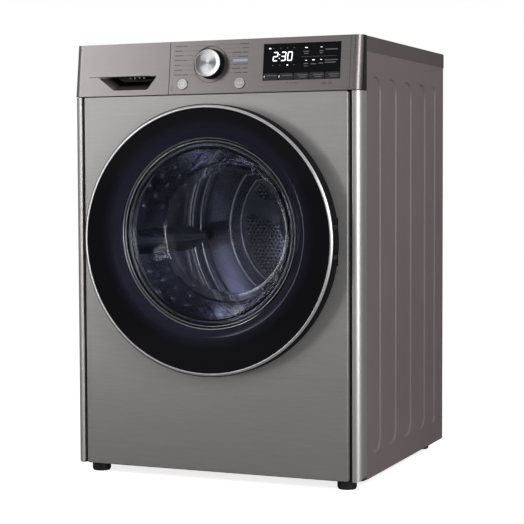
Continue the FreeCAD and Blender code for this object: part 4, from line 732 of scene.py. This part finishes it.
def key_rings():
    """Printed ring and sign on each of the two buttons."""
    for name, body in (("power_button", "power_key"), ("start_button", "start_key")):
        low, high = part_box(name)
        x = (low.x + high.x) / 2
        z = KEY_Z[name]
        flat_ring(9.6 * MM, 0.5 * MM, 0.25 * MM, x, z, KEY_LIFT, name + "_ring", "print_light", body)
        if name == "power_button":
            symbol_on(x, z, body)
        else:
            bars = [(x / MM + 2.0 + 1.7 * i, z / MM, 0.8, 4.2) for i in range(2)]
            tabs_on_strip(bars, KEY_LIFT, "start_bars", "print_light", body)
            arrow(x - 2.2 * MM, z, body)


def symbol_on(x, z, body):
    """Open ring and bar of the on switch."""
    bpy.ops.mesh.primitive_circle_add(vertices=40, radius=3.4 * MM)
    piece = bpy.context.object
    pick(piece, lambda e: (e.verts[0].co + e.verts[1].co).y / 2 > 2.9 * MM, "EDGE")
    bpy.ops.mesh.delete(type="EDGE")
    done()
    hold(piece)
    bpy.ops.object.convert(target="CURVE")
    piece = bpy.context.object
    piece.data.bevel_depth = 0.35 * MM
    piece.data.bevel_resolution = 2
    bpy.ops.object.convert(target="MESH")
    piece = bpy.context.object
    piece.data.transform(Matrix.Diagonal((1, 1, 0.4, 1)))
    bar = tab(0.7 * MM, 3.6 * MM, 0.14 * MM)
    bar.data.transform(Matrix.Translation((0, 2.6 * MM, 0)))
    piece = join([piece, bar])
    piece.data.transform(on_strip(x, z, KEY_LIFT))
    settle(piece, "power_symbol", "print_light", body)


def arrow(x, z, body):
    """The start button's arrow head."""
    bpy.ops.mesh.primitive_cylinder_add(vertices=3, radius=2.4 * MM, depth=0.14 * MM,
                                        location=(0, 0, 0.07 * MM), rotation=(0, 0, -math.pi / 2))
    piece = bpy.context.object
    round_edges(piece, 0.04 * MM, 1)
    piece.data.transform(on_strip(x, z, KEY_LIFT))
    settle(piece, "start_arrow", "print_light", body)


# ------------------------------------------------------------------ display
GLASS_LIFT = 0.2 * MM
DIGIT_BARS = {"0": "abcdef", "2": "abged", "3": "abgcd"}
NUMERALS = (("2", 24.5), ("3", 40.5), ("0", 53.5))
NUMERAL_DOWN = 24.5
STROKE = 1.7
TOUCH_PITCH = 31.0
# Marks as (right of, below the window's upper left corner, width, height)
LIT_SIGNS = [(32.6, 21.0, 1.7, 1.7), (32.2, 28.0, 1.7, 1.7), (13.0, 9.0, 4.0, 1.8), (49.0, 41.0, 3.0, 1.8),
             (86.0, 9.5, 5.0, 1.3), (116.0, 9.5, 3.6, 0.8), (86.5, 33.5, 3.0, 0.8),
             (101.0, 33.0, 5.0, 1.3), (116.0, 33.0, 3.6, 0.8), (3.2, 62.0, 1.2, 4.6),
             (33.2, 62.0, 1.2, 4.6)]
DIM_SIGNS = [(136.0, 14.0, 24.0, 2.0), (136.0, 34.0, 26.0, 1.8), (134.0, 38.5, 22.0, 1.8),
             (86.0, 16.5, 12.0, 1.6), (86.0, 20.5, 9.0, 1.6), (116.0, 16.5, 8.0, 1.6),
             (116.0, 20.5, 6.0, 1.6), (86.0, 39.5, 9.0, 1.6), (101.0, 40.5, 11.0, 1.6),
             (116.0, 39.5, 9.0, 1.6), (86.0, 44.0, 7.0, 1.4), (112.0, 26.5, 70.0, 0.4)]
DIM_SIGNS += [(20.0 + 14 * i, 9.0, 3.0, 1.0) for i in range(4)]
DIM_SIGNS += [(20.0 + 14 * i, 41.0, 3.0, 1.0) for i in (0, 1, 3)]


def in_window(marks):
    """Marks measured from the window's upper left corner, placed on the strip."""
    left, top = window_low.x / MM, window_high.z / MM
    return [(left + right, top - down, width, height) for right, down, width, height in marks]


def numeral(digit, x, z, width, height):
    """The bars of one numeral whose middle is at (x, z) on the display."""
    half_w, quarter = (width - STROKE) / 2, (height - STROKE) / 4
    spots = {"a": (0, 2 * quarter, 0), "g": (0, 0, 0), "d": (0, -2 * quarter, 0), "b": (half_w, quarter, 1),
             "c": (half_w, -quarter, 1), "f": (-half_w, quarter, 1), "e": (-half_w, -quarter, 1)}
    pieces = []
    for bar in DIGIT_BARS[digit]:
        dx, dz, upright = spots[bar]
        length = (2 * quarter if upright else 2 * half_w) - 0.5
        piece = tab(length * MM, STROKE * MM, 0.06 * MM)
        if upright:
            piece.data.transform(Matrix.Rotation(math.pi / 2, 4, "Z"))
        piece.data.transform(Matrix.Translation((dx * MM, dz * MM, 0)))
        pieces.append(piece)
    piece = join(pieces)
    slant = Matrix.Identity(4)
    slant[0][1] = 0.08
    piece.data.transform(slant)
    piece.data.transform(on_strip(x * MM, z * MM, GLASS_LIFT))
    return piece


def display_marks():
    """Numerals, signs and the row of touch cells behind the window."""
    pieces = []
    for digit, right in NUMERALS:
        x, z, width, height = in_window([(right, NUMERAL_DOWN, 10.0, 17.5)])[0]
        pieces.append(numeral(digit, x, z, width, height))
    settle(join(pieces), "lit_numerals", "lit", "cabinet")
    tabs_on_strip(in_window(LIT_SIGNS), GLASS_LIFT, "lit_signs", "lit", "cabinet")
    tabs_on_strip(in_window(DIM_SIGNS), GLASS_LIFT, "dim_signs", "print_dim", "cabinet")
    cells = [(15.5 + TOUCH_PITCH * i, 62.3, 30.0, 12.6) for i in range(5)]
    tabs_on_strip(in_window(cells), GLASS_LIFT, "touch_cells", "touch", "cabinet")
    words = []
    for cell in range(5):
        words.append((18.0 + TOUCH_PITCH * cell, 60.4, 20.0, 1.5))
        if cell > 1:
            words.append((18.0 + TOUCH_PITCH * cell, 64.4, 14.0, 1.5))
    tabs_on_strip(in_window(words), GLASS_LIFT + PRINT_THICK, "touch_words", "print_dim", "cabinet")


# ------------------------------------------------------------------ drum
SHELL_THICK = 4.0 * MM
DRUM_IN = (drum_high.x - drum_low.x) / 2 - SHELL_THICK
LIFTER_TURNS = (186.0, 66.0, 306.0)
LIFTER_CLEAR = 11.0
DIMPLE_ROWS = 10
RIB_R = 237.0 * MM
SPOKE_TURN = 40.0
INLET_PITCH = 9.4 * MM
FIELD_OUTER_R = 146.0 * MM
FIELD_INNER_R = 56.0 * MM
SPOKE_CLEAR = 17.0 * MM


def wall_dimples():
    """Pressed drops on the drum's inner wall, in staggered rows clear of the lifters."""
    bpy.ops.mesh.primitive_uv_sphere_add(segments=10, ring_count=6, radius=1.0)
    drop = bpy.context.object
    drop.scale = (2.6 * MM, 9.0 * MM, 7.0 * MM)
    apply_all(drop)
    pick(drop, lambda v: v.co.y > 3 * MM, "VERT")
    bpy.ops.transform.resize(value=(1.0, 1.0, 0.45))
    done()
    drop.data.transform(Matrix.Translation((DRUM_IN, 0, 0)))
    copies = []
    front, back = drum_low.y + 34 * MM, drum_high.y - 44 * MM
    for row in range(DIMPLE_ROWS):
        y = front + (back - front) * row / (DIMPLE_ROWS - 1)
        for step in range(36):
            turn = 10.0 * step + 5.0 * (row % 2)
            apart = min((turn - LIFTER_TURNS[1]) % 120.0, (LIFTER_TURNS[1] - turn) % 120.0)
            if apart > LIFTER_CLEAR:
                place = Matrix.Translation((0, y, DRUM_Z)) @ Matrix.Rotation(math.radians(-turn), 4, "Y")
                copies.append(twin(drop, place))
    bpy.data.objects.remove(drop)
    # Their finish is lighter than the drum's steel, a painted glint.
    settle(join(copies), "drum_dimples", "dimple", "drum")


def inlet_mesh():
    """Perforated inlet disc: six-sided cells with bosses, round a plain hub with three plain spokes."""
    pitch = INLET_PITCH
    bpy.ops.mesh.primitive_circle_add(vertices=6, radius=pitch / math.sqrt(3), fill_type="NGON",
                                      rotation=(0, 0, math.radians(30)))
    cell = bpy.context.object
    apply_all(cell)
    pick(cell, lambda f: True)
    bpy.ops.mesh.inset(thickness=2.1 * MM)
    bpy.ops.mesh.delete(type="FACE")
    done()
    cells, centres = [], []
    reach = int(FIELD_OUTER_R / pitch) + 2
    for row in range(-reach, reach + 1):
        for column in range(-reach, reach + 1):
            x = (column + 0.5 * (row % 2)) * pitch
            y = row * pitch * math.sqrt(3) / 2
            radius, turn = math.hypot(x, y), math.degrees(math.atan2(y, x))
            off = abs((turn - SPOKE_TURN + 60.0) % 120.0 - 60.0)
            side = radius * math.sin(math.radians(min(off, 90.0)))
            if FIELD_INNER_R < radius < FIELD_OUTER_R and side > SPOKE_CLEAR:
                centres.append(Vector((x, y, 0)))
                cells.append(twin(cell, Matrix.Translation(centres[-1])))
    bpy.data.objects.remove(cell)
    boss = small_boss(pitch / math.sqrt(3))
    bosses = [twin(boss, Matrix.Translation(centre)) for centre in centres]
    bpy.data.objects.remove(boss)
    field = join(cells)
    pick(field, lambda v: True, "VERT")
    bpy.ops.mesh.remove_doubles(threshold=0.1 * MM)
    done()
    wall = field.modifiers.new("wall", "SOLIDIFY")
    wall.thickness = 1.4 * MM
    apply_all(field)
    upright = Matrix.Translation((0, grille_high.y, DRUM_Z)) @ Matrix.Rotation(math.pi / 2, 4, "X")
    field.data.transform(upright)
    settle(field, "inlet_perforations", "drum", "cabinet", 20.0)
    # The bosses are in light steel, a painted glint at each hole's edge.
    raised = join(bosses)
    raised.data.transform(upright)
    settle(raised, "inlet_lips", "painted_glint_steel", "cabinet")
    plate = join([inlet_rim(), inlet_hub()] + [inlet_spoke(SPOKE_TURN + 120.0 * i) for i in range(3)])
    plate.data.transform(upright)
    settle(plate, "inlet_plain_plate", "lifter", "cabinet", 30.0)
    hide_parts("air_inlet_grille")


def small_boss(radius):
    """A low rounded boss, set off from its cell's centre by the given radius."""
    bpy.ops.mesh.primitive_uv_sphere_add(segments=8, ring_count=5, radius=1.5 * MM,
                                         location=(0, radius, 0.4 * MM))
    boss = bpy.context.object
    apply_all(boss)
    pick(boss, lambda v: v.co.z < -0.5 * MM, "VERT")
    bpy.ops.transform.resize(value=(1.3, 1.3, 1.0))
    done()
    return boss


def inlet_rim():
    """The plain band round the perforated field."""
    bpy.ops.mesh.primitive_cylinder_add(vertices=128, radius=151.6 * MM, depth=2.0 * MM,
                                        location=(0, 0, 0.6 * MM))
    rim = bpy.context.object
    apply_all(rim)
    pick(rim, lambda f: abs(f.normal.z) > 0.9)
    bpy.ops.mesh.inset(thickness=8.0 * MM)
    bpy.ops.mesh.bridge_edge_loops()
    done()
    round_edges(rim, 0.6 * MM)
    return rim


def inlet_hub():
    """The raised plain centre, with a shallow dish."""
    bpy.ops.mesh.primitive_cylinder_add(vertices=96, radius=60.0 * MM, depth=2.4 * MM,
                                        location=(0, 0, 0.8 * MM))
    hub = bpy.context.object
    apply_all(hub)
    pick(hub, lambda f: f.normal.z > 0.9)
    bpy.ops.mesh.inset(thickness=10.0 * MM)
    bpy.ops.transform.translate(value=(0, 0, 3.2 * MM))
    bpy.ops.mesh.inset(thickness=20.0 * MM)
    bpy.ops.transform.translate(value=(0, 0, -0.8 * MM))
    done()
    round_edges(hub, 1.2 * MM, 3, 12.0)
    return hub


def inlet_spoke(turn):
    """A plain arm that widens towards the rim, rounded at its sides."""
    bpy.ops.mesh.primitive_cube_add(size=1.0, location=(97.0 * MM, 0, 0.8 * MM))
    arm = bpy.context.object
    arm.scale = (98.0 * MM, 36.0 * MM, 2.4 * MM)
    apply_all(arm)
    pick(arm, lambda f: f.normal.x > 0.9)
    bpy.ops.transform.resize(value=(1.0, 1.35, 1.0))
    done()
    round_edges(arm, 1.1 * MM, 3)
    arm.data.transform(Matrix.Rotation(math.radians(turn), 4, "Z"))
    return arm


def lifter_ribs():
    """Low ribs along each lifter's crown."""
    length = (lifter_high.y - lifter_low.y) - 110 * MM
    middle = (lifter_high.y + lifter_low.y) / 2 + 26 * MM
    pieces = []
    for angle in LIFTER_TURNS:
        for offset in (-5.0, 5.0):
            bpy.ops.mesh.primitive_cube_add(size=1.0, location=(RIB_R, middle, offset * MM))
            rib = bpy.context.object
            rib.scale = (1.8 * MM, length, 2.2 * MM)
            round_edges(rib, 0.7 * MM)
            turn = Matrix.Rotation(math.radians(-angle), 4, "Y")
            rib.data.transform(Matrix.Translation((0, 0, DRUM_Z)) @ turn)
            pieces.append(rib)
    settle(join(pieces), "lifter_ribs", "lifter", "drum")


# ------------------------------------------------------------------ door
def bead(radius, thick, y, centre_z, name, finish, body):
    """A thin rounded ring that faces the front."""
    bpy.ops.mesh.primitive_torus_add(major_segments=160, minor_segments=10, major_radius=radius,
                                     minor_radius=thick, location=(0, y, centre_z),
                                     rotation=(math.pi / 2, 0, 0))
    piece = bpy.context.object
    apply_all(piece)
    pick(piece, lambda f: f.normal.y < -0.6)
    bpy.ops.mesh.inset(thickness=thick * 0.12, depth=thick * 0.1)
    done()
    return settle(piece, name, finish, body, 50.0)


DOOR_BEADS = (("bowl_edge_bead", 183.0, 0.9, 0.4), ("bowl_inner_bead", 177.4, 0.6, 0.2))


def door_beads():
    """Two thin rings round the bowl's flange, in light steel that paints the glass edge's highlights."""
    for name, radius, thick, lift in DOOR_BEADS:
        bead(radius * MM, thick * MM, bowl_low.y - lift * MM, DRUM_Z, name, "painted_glint_steel", "door")


def drum_end_beads():
    """Beads rolled into the drum's rear end: two near its wall and one round the air inlet, in light steel
    that paints their glints.
    """
    plate_y = grille_high.y + 8 * MM
    for name, radius, thick, y in (("rear_bead_outer", 270.0, 1.5, plate_y - 19 * MM),
                                   ("rear_bead_middle", 258.5, 1.3, plate_y - 1 * MM),
                                   ("rear_bead_inner", 183.0, 1.8, plate_y - 2 * MM),
                                   ("rear_bead_inlet", 153.4, 1.2, grille_low.y + 4 * MM)):
        bead(radius * MM, thick * MM, y, DRUM_Z, name, "painted_glint_steel", "cabinet")


# ------------------------------------------------------------------ feet
GRIP_COUNT = 24
GRIP_R = 18.0 * MM


def foot_details():
    """Moulded grips round each levelling foot."""
    for name in ("foot_front_left", "foot_front_right", "foot_rear_left", "foot_rear_right"):
        low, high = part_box(name)
        x, y = (low.x + high.x) / 2, (low.y + high.y) / 2
        ribs = []
        for step in range(GRIP_COUNT):
            turn = 2 * math.pi * step / GRIP_COUNT
            spot = (x + GRIP_R * math.cos(turn), y + GRIP_R * math.sin(turn), 9.5 * MM)
            bpy.ops.mesh.primitive_cube_add(size=1.0, location=spot, rotation=(0, 0, turn))
            rib = bpy.context.object
            rib.scale = (1.0 * MM, 1.8 * MM, 12.0 * MM)
            ribs.append(rib)
        piece = join(ribs)
        apply_all(piece)
        round_edges(piece, 0.25 * MM, 1)
        body = name.replace("foot_", "") + "_foot"
        settle(piece, name + "_grip", "foot", body)


# ------------------------------------------------------------------ rear
PLATE_Z = 795.0 * MM
PLATE_THICK = 0.4 * MM
# Bars as (right of, above the plate's middle, width)
PLATE_BARS = [(-34.0, 7.0, 34.0), (-30.0, 2.0, 42.0), (-32.0, -3.0, 38.0), (-36.0, -8.0, 30.0),
              (28.0, 6.0, 26.0), (28.0, -1.0, 34.0), (28.0, -8.0, 22.0)]


def rating_plate():
    """Blank plate on the rear panel above the duct cover, its entries shown as plain bars."""
    turn = Matrix.Translation((0, rear_high.y, PLATE_Z)) @ Matrix.Rotation(-math.pi / 2, 4, "X")
    plate = tab(120 * MM, 26 * MM, PLATE_THICK)
    plate.data.transform(turn)
    settle(plate, "rating_plate", "print_light", "cabinet")
    entries = []
    for x, up, width in PLATE_BARS:
        entry = tab(width * MM, 1.6 * MM, 0.1 * MM)
        entry.data.transform(turn @ Matrix.Translation((x * MM, up * MM, PLATE_THICK)))
        entries.append(entry)
    settle(join(entries), "rating_plate_entries", "print_grey", "cabinet")


TOOTH_PITCH = 10.0
FIRST_TOOTH_X = -177.0


def grip_teeth():
    """Four small teeth under the upper edge of the drawer's finger pocket."""
    teeth = []
    for step in range(4):
        x, z = (FIRST_TOOTH_X + TOOTH_PITCH * step) * MM, 781.6 * MM
        bpy.ops.mesh.primitive_cube_add(size=1.0, location=(x, strip_y(z) + 9.0 * MM, z))
        tooth = bpy.context.object
        tooth.scale = (4.0 * MM, 12.0 * MM, 3.2 * MM)
        apply_all(tooth)
        pick(tooth, lambda f: f.normal.z < -0.9)
        bpy.ops.transform.resize(value=(0.5, 1.0, 1.0))
        done()
        round_edges(tooth, 0.5 * MM)
        teeth.append(tooth)
    settle(join(teeth), "grip_teeth", "strip", "tank_drawer")


# ------------------------------------------------------------------ studio
def softbox(name, spot, aim, size, radiance, colour):
    """An area light whose face has the given brightness, whatever its size."""
    lamp = bpy.data.lights.new(name, "AREA")
    lamp.shape = "RECTANGLE"
    lamp.size, lamp.size_y = size
    lamp.energy = radiance * math.pi * size[0] * size[1]
    lamp.color = colour
    obj = bpy.data.objects.new(name, lamp)
    bpy.context.scene.collection.objects.link(obj)
    obj.location = spot
    obj.rotation_euler = (Vector(aim) - Vector(spot)).to_track_quat("-Z", "Y").to_euler()


def studio_floor():
    """White to the eye with a faint contact shadow, but a dull grey in the machine's reflections."""
    bpy.ops.mesh.primitive_plane_add(size=400.0, location=(0, 0, 0))
    floor = bpy.context.object
    floor.name = "floor"
    material, tree, shader, _ = blank("pale_floor")
    shader.inputs["Base Color"].default_value = (0.26, 0.26, 0.26, 1.0)
    shader.inputs["Roughness"].default_value = 0.9
    shader.inputs["Specular IOR Level"].default_value = 0.0
    glow = tree.nodes.new("ShaderNodeEmission")
    glow.inputs["Color"].default_value = (1.0, 1.0, 1.0, 1.0)
    glow.inputs["Strength"].default_value = 0.80
    matt = tree.nodes.new("ShaderNodeBsdfDiffuse")
    matt.inputs["Color"].default_value = (0.9, 0.9, 0.9, 1.0)
    both = tree.nodes.new("ShaderNodeAddShader")
    tree.links.new(glow.outputs[0], both.inputs[0])
    tree.links.new(matt.outputs[0], both.inputs[1])
    path = tree.nodes.new("ShaderNodeLightPath")
    mix = tree.nodes.new("ShaderNodeMixShader")
    tree.links.new(path.outputs["Is Camera Ray"], mix.inputs[0])
    tree.links.new(shader.outputs[0], mix.inputs[1])
    tree.links.new(both.outputs[0], mix.inputs[2])
    tree.links.new(mix.outputs[0], tree.nodes["Material Output"].inputs["Surface"])
    floor.data.materials.append(material)


# Each light as (name, place, aim, size, brightness, colour)
COLD = (0.95, 0.97, 1.0)
WHITE = (1, 1, 1)
LIGHTS = (("key_left", (-2.9, -2.7, 2.7), (-0.1, -0.3, 0.8), (2.4, 2.0), 1.1, WHITE),
          ("tall_left", (-1.95, -2.5, 1.15), (-0.25, -0.2, 0.5), (0.55, 2.3), 5.8, WHITE),
          ("strip_right", (2.6, -1.9, 0.7), (0.3, -0.2, 0.4), (0.8, 2.6), 9.0, WHITE),
          ("front_fill", (1.6, -4.2, 1.8), (0, 0, 0.4), (2.0, 2.0), 0.3, WHITE),
          ("side_fill", (3.0, 0.9, 2.3), (0.3, 0, 0.6), (2.0, 1.6), 0.9, WHITE),
          ("top_wash", (0, 0.6, 3.2), (0, 0, 0.85), (2.5, 2.5), 0.3, WHITE),
          ("drum_glow", (0.17, -0.16, 0.55), (-0.27, 0.10, 0.52), (0.05, 0.16), 30.0, COLD),
          ("inlet_glow", (-0.17, -0.16, 0.42), (0.10, 0.17, 0.47), (0.05, 0.10), 5.0, COLD))


def studio():
    """Floor, lights, and a world that is white to the eye and grey in reflections."""
    studio_floor()
    for name, spot, aim, size, radiance, colour in LIGHTS:
        softbox(name, spot, aim, size, radiance, colour)
    world = bpy.data.worlds.new("studio")
    bpy.context.scene.world = world
    world.use_nodes = True
    tree = world.node_tree
    background = tree.nodes["Background"]
    background.inputs["Color"].default_value = (0.22, 0.22, 0.225, 1.0)
    white = tree.nodes.new("ShaderNodeBackground")
    white.inputs["Color"].default_value = (1.0, 1.0, 1.0, 1.0)
    path = tree.nodes.new("ShaderNodeLightPath")
    mix = tree.nodes.new("ShaderNodeMixShader")
    tree.links.new(path.outputs["Is Camera Ray"], mix.inputs[0])
    tree.links.new(background.outputs[0], mix.inputs[1])
    tree.links.new(white.outputs[0], mix.inputs[2])
    tree.links.new(mix.outputs[0], tree.nodes["World Output"].inputs["Surface"])
    bpy.context.scene.view_settings.view_transform = "Standard"


def camera():
    """A long lens in front of the right corner, a little above the drum's middle."""
    lens = bpy.data.cameras.new("camera")
    lens.sensor_width = 36.0
    lens.lens = 107.82
    lens.shift_x = 0.0437
    lens.shift_y = -0.0021
    lens.clip_end = 100.0
    obj = bpy.data.objects.new("camera", lens)
    bpy.context.scene.collection.objects.link(obj)
    yaw, pitch, roll = math.radians(23.329), math.radians(3.081), math.radians(-0.264)
    obj.matrix_world = (Matrix.Translation((1.2396, -3.0208, 0.5893)) @ Matrix.Rotation(yaw, 4, "Z")
                        @ Matrix.Rotation(math.pi / 2 - pitch, 4, "X") @ Matrix.Rotation(roll, 4, "Z"))
    bpy.context.scene.camera = obj


camera()
studio()
programme_marks()
flat_ring(DIAL_R * MM, 0.9 * MM, 0.15 * MM, KNOB_X, KNOB_Z, 0.0, "dial_ring", "print_grey", "cabinet")
tabs_on_strip([GRIP_LINE], 0, "grip_line", "window", "tank_drawer")
knob_face()
key_rings()
display_marks()
wall_dimples()
inlet_mesh()
lifter_ribs()
door_beads()
drum_end_beads()
foot_details()
rating_plate()
grip_teeth()
